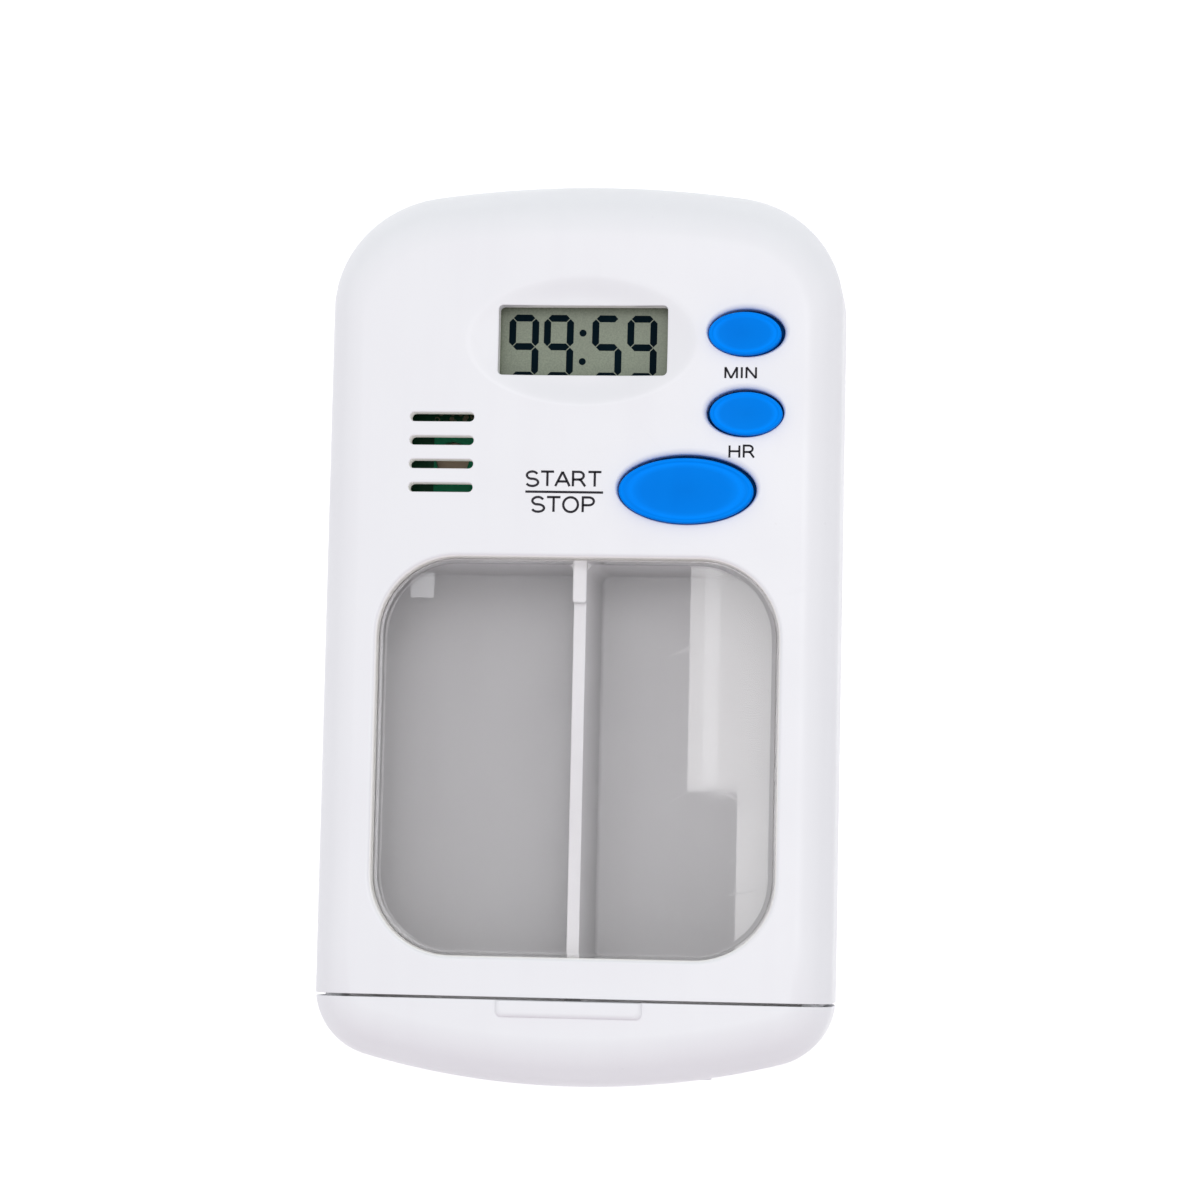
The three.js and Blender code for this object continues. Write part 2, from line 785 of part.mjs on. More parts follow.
const crystalRadius = 1;
const crystalLength = 6;
const crystalLeadRadius = 0.2;
const crystalLeadLength = 2;
const crystalLeadSpacing = 0.9;
const crystalFromChip = 6;

// The can lies along the board, and its two leads run from its end towards the chip.
function quartzCrystal() {
  const x = chipPlace[0] - crystalFromChip;
  const z = boardBottom - crystalRadius;
  const lying = (radius, length, sides, end, y) => {
    const cylinder = new THREE.CylinderGeometry(radius, radius, length, sides).rotateZ(Math.PI / 2);
    return solid(cylinder.translate(end - length / 2, y, z));
  };
  let crystal = lying(crystalRadius, crystalLength, 2 * rollSteps, x, chipPlace[1]);
  for (const side of [-1, 1]) {
    const y = chipPlace[1] + side * crystalLeadSpacing / 2;
    const leadEnd = x + crystalLeadLength - crystalRadius;
    crystal = crystal.add(lying(crystalLeadRadius, crystalLeadLength, rollSteps, leadEnd, y));
  }
  return crystal;
}

addMesh("quartz_crystal", quartzCrystal(), materials.steel);

// Buttons, their return domes and their contact pills

function pressButton({ place, halfX, halfY }) {
  const flangeTop = innerFace - clearance;
  const flangeBottom = flangeTop - flangeThickness;
  const crown = caseThickness + buttonProud;
  const cap = ovalStack(place, halfX, halfY, [
    [-flangeLap, flangeBottom],
    [-flangeLap, flangeTop],
    [buttonGap, flangeTop],
    [buttonGap, crown - buttonEdge],
    [buttonGap + buttonEdge / 3, crown - buttonEdge / 3],
    [buttonGap + buttonEdge, crown],
  ]);
  return cap.add(rod(stemRadius, place, domeTop + clearance, flangeTop));
}

// A rubber dome: a flat foot, a thin cone and a thick roof, open underneath.
function rubberDome({ place }) {
  const top = boardTop + domeHeight;
  return turned([
    [0, top - domeRoof],
    [domeTopRadius - domeWall / 2, top - domeRoof],
    [domeBaseRadius - 2 * domeWall, boardTop],
    [domeBaseRadius, boardTop],
    [domeBaseRadius, boardTop + domeBaseHeight],
    [domeTopRadius, top - domeWall],
    [domeTopRadius, top],
    [0, top],
  ], place, 2 * smallTurnSteps);
}

for (const button of buttons) {
  addMesh(`${button.name}_button`, pressButton(button), materials.blue);
  addMesh(`${button.name}_rubber_dome`, rubberDome(button), materials.rubber);
  const pill = rod(pillRadius, button.place, pillBottom, pillBottom + pillThickness);
  addMesh(`${button.name}_contact_pill`, pill, materials.black);
}

// Buzzer

const wireRadius = 0.35;
const wireSides = 8;
const wireSteps = 12;
const redStart = [2, 2.5];
const redPad = [9, 5.5];
const blackStart = [5.5, -2];
const blackPad = [10.5, 0.5];

// A short lead from the buzzer up to the board, from a start beside the disc's middle to a pad.
function buzzerWire(start, pad) {
  const [x, y] = buzzerPlace;
  const low = ceramicTop + clearance + wireRadius;
  const high = boardBottom - clearance - wireRadius;
  const route = new THREE.CatmullRomCurve3([
    new THREE.Vector3(x + start[0], y + start[1], low),
    new THREE.Vector3(x + (start[0] + pad[0]) / 2, y + start[1], (low + high) / 2),
    new THREE.Vector3(x + pad[0], y + pad[1], high),
  ]);
  const section = new THREE.Shape();
  for (let side = 0; side < wireSides; side += 1) {
    const angle = 2 * Math.PI * side / wireSides;
    const move = side === 0 ? "moveTo" : "lineTo";
    section[move](wireRadius * Math.cos(angle), wireRadius * Math.sin(angle));
  }
  return solid(new THREE.ExtrudeGeometry(section, { steps: wireSteps, extrudePath: route }));
}

addMesh("buzzer_disc", rod(buzzerDiscRadius, buzzerPlace, buzzerSeatTop, discTop), materials.brass);
addMesh("buzzer_ceramic", rod(buzzerCeramicRadius, buzzerPlace, discTop, ceramicTop), materials.ceramic);
addMesh("buzzer_wire_red", buzzerWire(redStart, redPad), materials.redWire);
addMesh("buzzer_wire_black", buzzerWire(blackStart, blackPad), materials.black);

// Battery, its contacts and its door

const canCrimp = 0.5;
const capRecess = 0.25;

function buttonCell() {
  const capRadius = cellRadius - 3 * canCrimp;
  return turned([
    [0, cellBottom],
    [cellRadius - canCrimp / 2, cellBottom],
    [cellRadius, cellBottom + canCrimp / 2],
    [cellRadius, cellTop - canCrimp - capRecess],
    [cellRadius - canCrimp, cellTop - capRecess],
    [capRadius, cellTop - capRecess],
    [capRadius, cellTop],
    [0, cellTop],
  ], batteryPlace);
}

addMesh("button_cell", buttonCell(), materials.steel);

// A strip of sheet metal whose side view is given as a closed outline of X and Z.
function sheetStrip(outline, width) {
  const shape = new THREE.Shape(outline.map(([x, z]) => new THREE.Vector2(x, z)));
  const strip = new THREE.ExtrudeGeometry(shape, { depth: width, bevelEnabled: false });
  return solid(strip.rotateX(Math.PI / 2).translate(0, batteryPlace[1] + width / 2, 0));
}

const contactFoot = 2.5;
const contactTouch = 1.6;

// A leaf from the board down to the middle of the cell.
function negativeContact() {
  const x = batteryPlace[0];
  const footEnd = x - cellRadius - contactFoot;
  const touch = cellTop + clearance;
  return sheetStrip([
    [footEnd, boardBottom],
    [footEnd + contactFoot, boardBottom],
    [x - contactTouch, touch + contactThickness],
    [x + contactTouch, touch + contactThickness],
    [x + contactTouch, touch],
    [x - contactTouch, touch],
    [footEnd + contactFoot, boardBottom - contactThickness],
    [footEnd, boardBottom - contactThickness],
  ], contactWidth);
}

// A leaf from the board down the side of the cell.
function positiveContact() {
  const near = batteryPlace[0] + cellRadius + clearance;
  const far = near + contactFoot;
  const low = lugRoomTop + ledgeThickness + clearance;
  return sheetStrip([
    [near, low],
    [near, boardBottom],
    [far, boardBottom],
    [far, boardBottom - contactThickness],
    [near + contactThickness, boardBottom - contactThickness],
    [near + contactThickness, low],
  ], contactWidth);
}

addMesh("battery_negative_contact", negativeContact(), materials.brass);
addMesh("battery_positive_contact", positiveContact(), materials.brass);

const coinSlotLength = 10;
const coinSlotWidth = 1.6;
const coinSlotDepth = 0.7;

// A round door: an outer disc with a coin slot, a ring round the cell, and two lugs along X.
function batteryDoor() {
  const [x, y] = batteryPlace;
  const ringInner = cellRadius + cellSideGap;
  const disc = turned([
    [0, 0],
    [doorRadius, 0],
    [doorRadius, doorRingTop],
    [ringInner, doorRingTop],
    [ringInner, doorThickness],
    [0, doorThickness],
  ], batteryPlace);
  const lugBottom = doorRingTop - doorLugThickness;
  const reach = block(
    [x - doorLugRadius, y - doorLugWidth / 2, lugBottom],
    [x + doorLugRadius, y + doorLugWidth / 2, doorRingTop],
  );
  const lugs = reach.intersect(rod(doorLugRadius, batteryPlace, lugBottom, doorRingTop));
  const hollow = rod((ringInner + doorRadius) / 2, batteryPlace, 0, caseThickness);
  const slot = block(
    [x - coinSlotWidth / 2, y - coinSlotLength / 2, -overrun],
    [x + coinSlotWidth / 2, y + coinSlotLength / 2, coinSlotDepth],
  );
  return disc.add(lugs.subtract(hollow)).subtract(slot);
}

addMesh("battery_door", batteryDoor(), materials.shell);

// Screws

const crossShare = 0.7;
const crossWidthShare = 0.16;

// A pan-head screw standing head down, with a cross recess in its head.
function screw(place, { radius, headRadius, headHeight, seat, reach }) {
  const [x, y] = place;
  const body = turned([
    [0, seat - headHeight],
    [headRadius * crossShare, seat - headHeight],
    [headRadius, seat - headHeight / 2],
    [headRadius, seat],
    [radius, seat],
    [radius, seat + reach - radius],
    [0, seat + reach],
  ], place, smallTurnSteps);
  const half = headRadius * crossShare;
  const thin = headRadius * crossWidthShare;
  const low = seat - headHeight - overrun;
  const high = seat - headHeight / 2;
  const across = block([x - half, y - thin, low], [x + half, y + thin, high]);
  const along = block([x - thin, y - half, low], [x + thin, y + half, high]);
  return body.subtract(across).subtract(along);
}

const caseScrew = {
  radius: screwRadius,
  headRadius: screwHeadRadius,
  headHeight: screwHeadHeight,
  seat: screwRecess,
  reach: screwReach,
};
const boardScrew = {
  radius: boardScrewRadius,
  headRadius: boardScrewHeadRadius,
  headHeight: boardScrewHeadHeight,
  seat: boardBottom,
  reach: boardThickness + boardScrewReach,
};
caseScrewPlaces.forEach((place, number) => {
  addMesh(`case_screw_${number + 1}`, screw(place, caseScrew), materials.steel);
});
boardScrewPlaces.forEach((place, number) => {
  addMesh(`board_screw_${number + 1}`, screw(place, boardScrew), materials.steel);
});

// Drawer

const pinRadius = 1.2;
const pinLength = 3.5;
const pinFromMiddle = 12;
const pinBossRadius = 2.4;
const pinHeight = (trayBottom + trayTop) / 2;

// A rod along the case, from one place to another further back.
function lengthwiseRod(radius, x, front, back) {
  const length = back - front;
  const shape = new THREE.CylinderGeometry(radius, radius, length, ovalSteps / 2);
  return solid(shape.translate(x, (front + back) / 2, pinHeight));
}

function compartment(left, right) {
  const outline = {
    left,
    right,
    front: tray.front + trayWall,
    back: tray.back - trayWall,
    corner: trayCorner,
  };
  return loft([
    roundedRing(outline, trayDraft, trayBottom + trayFloor),
    roundedRing(outline, 0, trayTop),
    roundedRing(outline, 0, trayTop + overrun),
  ]);
}

function drawerTray() {
  let body = loft([
    roundedRing(tray, trayChamfer, trayBottom),
    roundedRing(tray, 0, trayBottom + trayChamfer),
    roundedRing(tray, 0, trayTop),
  ]);
  body = body.subtract(compartment(tray.left + trayWall, -trayDivider / 2));
  body = body.subtract(compartment(trayDivider / 2, tray.right - trayWall));
  const lugBack = tray.back - lugFromBack;
  const lugFront = lugBack - lugLength;
  body = body.add(block([-lugWidth / 2, lugFront, trayTop - trayWall], [lugWidth / 2, lugBack, lugTop]));
  for (const side of [-1, 1]) {
    const x = side * pinFromMiddle;
    body = body.add(lengthwiseRod(pinRadius, x, tray.front - pinLength, tray.front + trayWall / 2));
  }
  return body;
}

addMesh("drawer_tray", drawerTray(), materials.tray);

const ledgeWidth = 15.2;
const ledgeLength = 1.7;
const ledgeRise = 0.5;

// The ledge for the thumb, made longer than its visible part so that the rim's plane cuts it.
function thumbLedge() {
  const ledge = {
    left: -ledgeWidth / 2,
    right: ledgeWidth / 2,
    front: capRim - ledgeLength,
    back: capRim + overrun,
    corner: ledgeRise,
  };
  return loft([
    roundedRing(ledge, 0, caseThickness - wall / 2),
    roundedRing(ledge, 0, caseThickness),
    roundedRing(ledge, ledgeRise / 4, caseThickness + ledgeRise * 2 / 3),
    roundedRing(ledge, ledgeRise / 2, caseThickness + ledgeRise),
  ]);
}

// The cap that closes the drawer bay, with a tongue that stands in the mouth.
function drawerFront() {
  let cap = outerForm.add(thumbLedge()).intersect(before(capRim));
  cap = cap.add(capTongue()).subtract(envelope(wall));
  for (const side of [-1, 1]) {
    const x = side * pinFromMiddle;
    const boss = lengthwiseRod(pinBossRadius, x, capEnd, tray.front - clearance);
    cap = cap.add(boss.intersect(envelope(wall / 2)));
    const holeEnd = tray.front - pinLength - clearance;
    cap = cap.subtract(lengthwiseRod(pinRadius + clearance, x, holeEnd, tray.front));
  }
  return cap;
}

addMesh("drawer_front", drawerFront(), materials.shell);

export default group;
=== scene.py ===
"""Dresses the pocket pill box with a timer. It lies on its back, X across it, Y along it towards the display
and Z out of its face. Shapes are worked out in millimetres and become metres when a mesh is made."""

import json
import math

import bmesh
import bpy
import numpy as np
from mathutils import Matrix, Vector
from mathutils.geometry import tessellate_polygon


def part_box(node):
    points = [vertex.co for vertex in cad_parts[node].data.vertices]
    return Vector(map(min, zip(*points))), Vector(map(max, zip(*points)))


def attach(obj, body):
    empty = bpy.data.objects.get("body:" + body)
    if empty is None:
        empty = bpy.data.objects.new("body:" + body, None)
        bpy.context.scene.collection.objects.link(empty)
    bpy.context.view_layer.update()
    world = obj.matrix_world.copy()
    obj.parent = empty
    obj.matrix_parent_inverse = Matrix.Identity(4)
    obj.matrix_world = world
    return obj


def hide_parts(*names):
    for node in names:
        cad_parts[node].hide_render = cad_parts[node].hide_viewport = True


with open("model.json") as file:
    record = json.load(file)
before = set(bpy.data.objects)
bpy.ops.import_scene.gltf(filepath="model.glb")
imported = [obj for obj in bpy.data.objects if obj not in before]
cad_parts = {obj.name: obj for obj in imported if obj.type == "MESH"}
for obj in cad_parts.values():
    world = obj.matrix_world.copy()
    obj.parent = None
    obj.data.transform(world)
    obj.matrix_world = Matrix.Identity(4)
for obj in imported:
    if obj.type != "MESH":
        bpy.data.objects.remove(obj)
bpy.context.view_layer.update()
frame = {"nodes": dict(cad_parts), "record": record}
scene = bpy.context.scene
scene.view_settings.view_transform = "Standard"

# Lengths in millimetres: rolls are the radii of the long edges, and trims draw the ends in
MM = 0.001
WALL, CLEARANCE, SUNK = 1.8, 0.3, 0.1
SIDE_ROLL, TOP_ROLL, CAP_ROLL, BACK_ROLL = 4.0, 6.5, 5.3, 3.0
BACK_DRAFT = 0.35
TOP_CORNER, TOP_CROWN = 12.7, 118.0
CAP_CORNER, CAP_CROWN = 7.2, 87.0
TOP_TRIM, CAP_TRIM, MOUTH_TRIM = 0.12, 0.2, 0.15
TONGUE_INSET, TONGUE_LENGTH, REBATE_INSET = 1.0, 0.9, 0.7
FRONT_LAP = 0.9
BACK_LAP = FRONT_LAP + CLEARANCE
FLANGE_LAP = 0.7
EDGE, LEAST_CORNER = 0.06, 0.02
WELD, DEGENERATE = 2e-6, 1e-7


def measured(name):
    """A CAD node's lowest and highest corners, in millimetres."""
    return np.round(np.array(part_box(name), float) / MM, 3)


def middle(name):
    """The middle of a CAD node in plan."""
    return tuple(measured(name).mean(0)[:2])


def within(name, margins):
    """A CAD node's left, right, front and back in plan, each drawn in by its own margin."""
    low, high = measured(name)
    left, right, front, back = margins
    return low[0] + left, high[0] - right, low[1] + front, high[1] - back


def button_hole(name):
    """The middle and the half sizes of the hole that a button's flange sits behind."""
    low, high = measured(name)
    return (*((low + high) / 2)[:2], *((high - low) / 2 - FLANGE_LAP)[:2])


(_, MOUTH, PARTING), (HALF_WIDTH, HALF_LENGTH, FACE) = measured("front_shell")
MOUTH -= MOUTH_TRIM
INNER_FACE = FACE - WALL
LAP_TOP = measured("back_shell")[1][2]
LEDGE_TOP = measured("drawer_front")[1][2]
CAP_RIM = measured("drawer_front")[1][1] - TONGUE_LENGTH
STEP = CAP_RIM + TONGUE_LENGTH + CLEARANCE
TONGUE_TOP = INNER_FACE - CLEARANCE
DISPLAY_TOP = measured("lcd_front_polariser")[1][2]
APERTURE = (*within("lcd_front_polariser", (1.7, 1.8, 0.1, 0.7)), 0.5)
DISPLAY_Y = (APERTURE[2] + APERTURE[3]) / 2
DISH_X, DISH_Y, DISH_DEPTH = 12.75, 7.2, 0.42
PANE_FLANGE, PANE_CORNER = 1.0, 8.5
PANE_LOW, PANE_TOP = measured("window_lens")[:, 2]
WINDOW = (*within("window_lens", [PANE_FLANGE] * 4), PANE_CORNER)
BUTTONS = {name: button_hole(f"{name}_button") for name in ("min", "hr", "start_stop")}
CASE_SCREWS = [middle(f"case_screw_{number}") for number in (1, 2, 3, 4)]
BOARD_SCREWS = [middle(f"board_screw_{number}") for number in (1, 2, 3)]
BATTERY = middle("button_cell")
BUZZER = middle("buzzer_disc")
# Where the board turns from dark green to a lighter green, left and top, and how wide the change is
LIGHTER_GREEN_LEFT, LIGHTER_GREEN_TOP, LIGHTER_GREEN_FADE = -17.0, 22.1, 0.1


# Rings and grids


def quarter(count):
    """Evenly spaced angles from 0 to 90 degrees."""
    return np.linspace(0, math.pi / 2, count + 1)


def round_steps(radius, count):
    """Steps t of a quarter round from its wall to its flat: r (1 - cos t), how far each is drawn in from the
    wall, and r (1 - sin t), how far it is short of the flat."""
    t = quarter(count)
    return list(zip(radius * (1 - np.cos(t)), radius * (1 - np.sin(t))))


def between(first, last, count=25):
    """Evenly spaced points from one to another, without these two."""
    return np.linspace(first, last, count)[1:-1]


def levels(inset, kind, angles):
    """Rows of side draw, top draw, cap draw, height, how much of the front roll is taken from it, and inset.

    Front: draws grow from the inset to each roll by (1 - cos a), and the height falls short of the face by
    roll * (1 - sin a). Back: the same with one radius for all sides, from the back plane up, and drawn in by
    the draft on the outside."""
    a = np.asarray(angles, float)
    drawn = 1 - np.cos(a)
    if kind == "front":
        side = inset + (SIDE_ROLL - inset) * drawn
        top = inset + TOP_TRIM + (TOP_ROLL - inset) * drawn
        cap = inset + CAP_TRIM + (CAP_ROLL - inset) * drawn
        return np.stack([side, top, cap, 0 * a + FACE - inset, 1 - np.sin(a), 0 * a + inset], 1)
    draft = BACK_DRAFT if kind == "back" else 0.0
    draw = inset + draft + (BACK_ROLL - inset) * drawn
    height = inset + (BACK_ROLL - inset) * (1 - np.sin(a))
    return np.stack([draw, draw + TOP_TRIM, draw + CAP_TRIM, height, 0 * draw, 0 * draw + inset], 1)


def plain_level(draw, height):
    """One level drawn in by the same amount all round at one height."""
    return np.array([[draw, draw + TOP_TRIM, draw + CAP_TRIM, height, 0.0, draw]])


def crowned_end(side, end, corner_steps=22, crown_steps=36):
    """Right half to left half of the crowned top end: x, y and how squarely each point faces the end.

    A corner arc of radius (corner - side) about (half width - corner, c) runs into a crown arc of radius
    (crown - end) about (0, half length - crown); c makes the two touch, and facing is sin^2 of the normal."""
    small = (TOP_CORNER - side)[:, None]
    large = (TOP_CROWN - end)[:, None]
    corner_x = HALF_WIDTH - TOP_CORNER
    lean = np.arcsin(corner_x / (large - small))
    corner_y = HALF_LENGTH - TOP_CROWN + (large - small) * np.cos(lean)
    a = (math.pi / 2 - lean) * np.linspace(0, 1, corner_steps + 1)
    x1, y1 = corner_x + small * np.cos(a), corner_y + small * np.sin(a)
    b = math.pi / 2 - lean + 2 * lean * between(0, 1, crown_steps + 1)
    x2, y2 = large * np.cos(b), HALF_LENGTH - TOP_CROWN + large * np.sin(b)
    x = np.hstack([x1, x2, -x1[:, ::-1]])
    y = np.hstack([y1, y2, y1[:, ::-1]])
    facing = np.hstack([np.sin(a) ** 2, np.sin(b) ** 2, (np.sin(a) ** 2)[:, ::-1]])
    return x, y, facing, corner_y[:, 0]


def cap_corner_y(side, end):
    """Where the cap's corner arcs start, as a distance below the middle."""
    small, large = CAP_CORNER - side, CAP_CROWN - end
    corner_x = HALF_WIDTH - CAP_CORNER
    return HALF_LENGTH - CAP_CROWN + np.sqrt((large - small) ** 2 - corner_x**2)


def side_points(rows, y):
    """The right side at given y, one row per level: straight, or on the cap's corner arc past its start."""
    side, end = rows[:, 0:1], rows[:, 2:3]
    small = CAP_CORNER - side
    past = np.clip(-y - cap_corner_y(side, end), 0, small)
    x = HALF_WIDTH - CAP_CORNER + np.sqrt(small**2 - past**2)
    return x, y + 0 * x, (past / small) ** 2


def raised(rows, x, y, top_facing, cap_facing):
    """Heights for level rows: base height less the local roll, which grows from the side's to the end's."""
    inset = rows[:, 5:6]
    roll = (SIDE_ROLL - inset) + (TOP_ROLL - SIDE_ROLL) * top_facing + (CAP_ROLL - SIDE_ROLL) * cap_facing
    return np.stack([x, y, rows[:, 3:4] - rows[:, 4:5] * roll + 0 * x], 2)


def shell_rings(rows, front):
    """Open rings from the mouth on the right, over the top, to the mouth on the left."""
    x1, y1, facing, corner_y = crowned_end(rows[:, 0], rows[:, 1])
    y0 = front + (corner_y[:, None] - front) * np.linspace(0, 1, 14, endpoint=False)
    x0, y0, cap_facing = side_points(rows, y0)
    x = np.hstack([x0, x1, -x0[:, ::-1]])
    y = np.hstack([y0, y1, y0[:, ::-1]])
    top = np.hstack([0 * x0, facing, 0 * x0])
    cap = np.hstack([cap_facing, 0 * x1, cap_facing[:, ::-1]])
    return raised(rows, x, y, top, cap)


def cap_rings(rows, rim):
    """Open rings from the rim on the right, over the cap, to the rim on the left.

    Each corner arc starts where it passes the rim, so that all rings end on one plane."""
    side, end = rows[:, 0:1], rows[:, 2:3]
    small, large = CAP_CORNER - side, CAP_CROWN - end
    corner_x = HALF_WIDTH - CAP_CORNER
    corner_y = cap_corner_y(side, end)
    lean = np.arcsin(corner_x / (large - small))
    start = np.arcsin(np.clip((-rim - corner_y) / small, 0, 1))
    a = start + (math.pi / 2 - lean - start) * np.linspace(0, 1, 25)
    x1, y1 = corner_x + small * np.cos(a), corner_y + small * np.sin(a)
    y0 = -rim + (y1[:, :1] + rim) * np.array([[0.0, 0.5]])
    x0 = corner_x + small * np.cos(start) + 0 * y0
    b = math.pi / 2 - lean + 2 * lean * between(0, 1, 49)
    x2, y2 = large * np.cos(b), HALF_LENGTH - CAP_CROWN + large * np.sin(b)
    x = np.hstack([x0, x1, x2, -x1[:, ::-1], -x0[:, ::-1]])
    y = np.hstack([y0, y1, y2, y1[:, ::-1], y0[:, ::-1]])
    lead, arc = 0 * x0 + np.sin(start) ** 2, np.sin(a) ** 2
    facing = np.hstack([lead, arc, np.sin(b) ** 2, arc[:, ::-1], lead])
    return raised(rows, x, -y, 0 * x, facing)


def mirrored(line):
    """A line carried to the other side of the middle."""
    return line * [-1, 1, 1]


def right_side(rows, y, turned=1):
    """The right side of a cross-section at y, one point a level; turned 0 keeps to the side's own roll."""
    x, y_all, facing = side_points(rows, np.full((len(rows), 1), float(y)))
    return raised(rows, x, y_all, 0 * x, turned * facing)[:, 0]


def cross_section(rows, y):
    """A cross-section of level rows at y: along the right side, across and back along the left side."""
    right = right_side(rows, y)
    left = mirrored(right[::-1])
    return np.concatenate([right, between(right[-1], left[0]), left])


def side_line(inset, y, top, low=None):
    """The right side of a section up to a height on its front roll, from a height or from the back plane."""
    turn = math.asin(1 - (FACE - inset - top) / (SIDE_ROLL - inset))
    foot = levels(inset, "inside back", quarter(8)[::-1]) if low is None else plain_level(inset, low)
    rows = np.concatenate([foot, levels(inset, "front", np.linspace(0, turn, 14))])
    return right_side(rows, y, turned=0)


def rounded_rectangle(box, grow=0.0, steps=8):
    """A closed outline of a rectangle with round corners, pushed out by grow."""
    left, right, front, back, corner = box
    radius = max(corner + grow, LEAST_CORNER)
    a = quarter(steps)
    turn = np.concatenate([a, a + math.pi / 2, a + math.pi, a + 1.5 * math.pi])
    sx = np.repeat([1, -1, -1, 1], steps + 1)
    sy = np.repeat([1, 1, -1, -1], steps + 1)
    cx = np.where(sx > 0, right, left) + sx * (grow - radius)
    cy = np.where(sy > 0, back, front) + sy * (grow - radius)
    return np.stack([cx + radius * np.cos(turn), cy + radius * np.sin(turn)], 1)


def oval(place, grow=0.0, steps=96):
    """A closed ellipse about a place, with both half sizes grown alike."""
    x, y, half_x, half_y = place
    a = np.linspace(0, 2 * math.pi, steps, endpoint=False)
    return np.stack([x + (half_x + grow) * np.cos(a), y + (half_y + grow) * np.sin(a)], 1)


def circle(place, radius, steps=96):
    """A closed circle about a place."""
    return oval((*place, radius, radius), 0.0, steps)


def at(outline, height):
    """A flat outline lifted to a height, or to one height for each point."""
    return np.column_stack([outline, np.zeros(len(outline)) + height])


def sheet(points, closed=False):
    """Quads over a grid of points, rows by columns; closed joins the last column to the first."""
    points = np.asarray(points)
    rows, columns = points.shape[:2]
    index = np.arange(rows * columns).reshape(rows, columns)
    after = np.roll(index, -1, 1)
    keep = slice(None) if closed else slice(0, -1)
    quads = np.stack([index[:-1, keep], after[:-1, keep], after[1:, keep], index[1:, keep]], 2)
    return points.reshape(-1, 3), quads.reshape(-1, 4)


def tube(rings):
    """Quads over closed rings of points."""
    return sheet(rings, True)


def plate(outline, holes=()):
    """A flat cover of a closed 3-D outline with holes, level or in the XZ plane."""
    loops = [np.asarray(loop, float) for loop in [outline, *holes]]
    points = np.concatenate(loops)
    upright = np.ptp(points[:, 2]) > 1e-9
    flat = [loop[:, [0, 2]] if upright else loop[:, :2] for loop in loops]
    return points, np.array(tessellate_polygon([[Vector((*spot, 0)) for spot in loop] for loop in flat]))


def block(rings):
    """A solid of closed rings with a plate over its first and last ring."""
    return [tube(rings), plate(rings[0]), plate(rings[-1])]


def lip(outline, top, low, radius, steps=5):
    """The edge and wall of an opening: a quarter round from the face into a straight wall."""
    rings = [at(outline(short), top - drawn) for drawn, short in round_steps(radius, steps)]
    return tube([*rings, at(outline(0.0), low)])


def profile_round(path, place, steps=64):
    """A profile of radii and heights turned about an upright axis through a place."""
    radius, height = np.asarray(path, float).T
    a = np.linspace(0, 2 * math.pi, steps, endpoint=False)
    x = place[0] + radius[:, None] * np.cos(a)
    y = place[1] + radius[:, None] * np.sin(a)
    return tube(np.stack([x, y, height[:, None] + 0 * x], 2))


def lying_round(path, place, steps=32):
    """A profile of radii and places along the case, turned about an axis along it at an x and a height."""
    points, faces = profile_round(path, place, steps)
    return points[:, [0, 2, 1]], faces


def solid_box(low, high):
    """Six faces between two corners."""
    (x0, y0, z0), (x1, y1, z1) = low, high
    points = np.array([[x, y, z] for z in (z0, z1) for y in (y0, y1) for x in (x0, x1)], float)
    faces = np.array([[0, 2, 3, 1], [4, 5, 7, 6], [0, 1, 5, 4], [2, 6, 7, 3], [0, 4, 6, 2], [1, 3, 7, 5]])
    return points, faces


def level_flats(mesh, near):
    """Flat faces along an axis shade dead flat, and the rounds that meet them start from their direction."""
    corners, faces = len(mesh.loops), len(mesh.polygons)
    point, normals, facing = np.empty(corners, int), np.empty(corners * 3), np.empty(faces * 3)
    sizes = np.empty(faces, int)
    mesh.loops.foreach_get("vertex_index", point)
    mesh.corner_normals.foreach_get("vector", normals)
    mesh.polygons.foreach_get("normal", facing)
    mesh.polygons.foreach_get("loop_total", sizes)
    normals, facing = normals.reshape(-1, 3), np.repeat(facing.reshape(-1, 3), sizes, 0)
    for axis in (*np.eye(3), *-np.eye(3)):
        flat = facing @ axis > 1 - 1e-6
        touching = np.zeros(len(mesh.vertices), bool)
        touching[point[flat]] = True
        normals[flat | touching[point] & (normals @ axis > near)] = axis
    mesh.normals_split_custom_set(normals.tolist())


def make(name, surfaces, material, body, stands_for=(), sharp=32, crisp=True, painted_light_maps=None):
    """One mesh of several surfaces, welded where they meet, facing outwards, and smooth but for sharp edges.

    The painted light maps are a function of the mesh's points, in millimetres, that gives named values for
    the
    finish: painted shade and painted highlight, and painted glow."""
    mesh = bpy.data.meshes.new(name)
    points = np.concatenate([p for p, _ in surfaces]) * MM
    starts = np.cumsum([0] + [len(p) for p, _ in surfaces[:-1]])
    faces = [row for (_, f), start in zip(surfaces, starts) for row in (f + start).tolist()]
    mesh.from_pydata(points.tolist(), [], faces)
    work = bmesh.new()
    work.from_mesh(mesh)
    bmesh.ops.remove_doubles(work, verts=work.verts, dist=WELD)
    bmesh.ops.dissolve_degenerate(work, edges=work.edges, dist=DEGENERATE)
    bmesh.ops.recalc_face_normals(work, faces=work.faces)
    work.to_mesh(mesh)
    work.free()
    if painted_light_maps:
        places = np.empty(len(mesh.vertices) * 3)
        mesh.vertices.foreach_get("co", places)
        for title, values in painted_light_maps(places.reshape(-1, 3) / MM).items():
            mesh.attributes.new(title, "FLOAT", "POINT").data.foreach_set("value", values)
    mesh.polygons.foreach_set("use_smooth", np.ones(len(mesh.polygons), bool))
    mesh.set_sharp_from_angle(angle=math.radians(sharp))
    if crisp:
        level_flats(mesh, math.cos(math.radians(sharp)))
    mesh.materials.append(material)
    piece = bpy.data.objects.new(name, mesh)
    scene.collection.objects.link(piece)
    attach(piece, body)
    if stands_for:
        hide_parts(*stands_for)


# Finishes


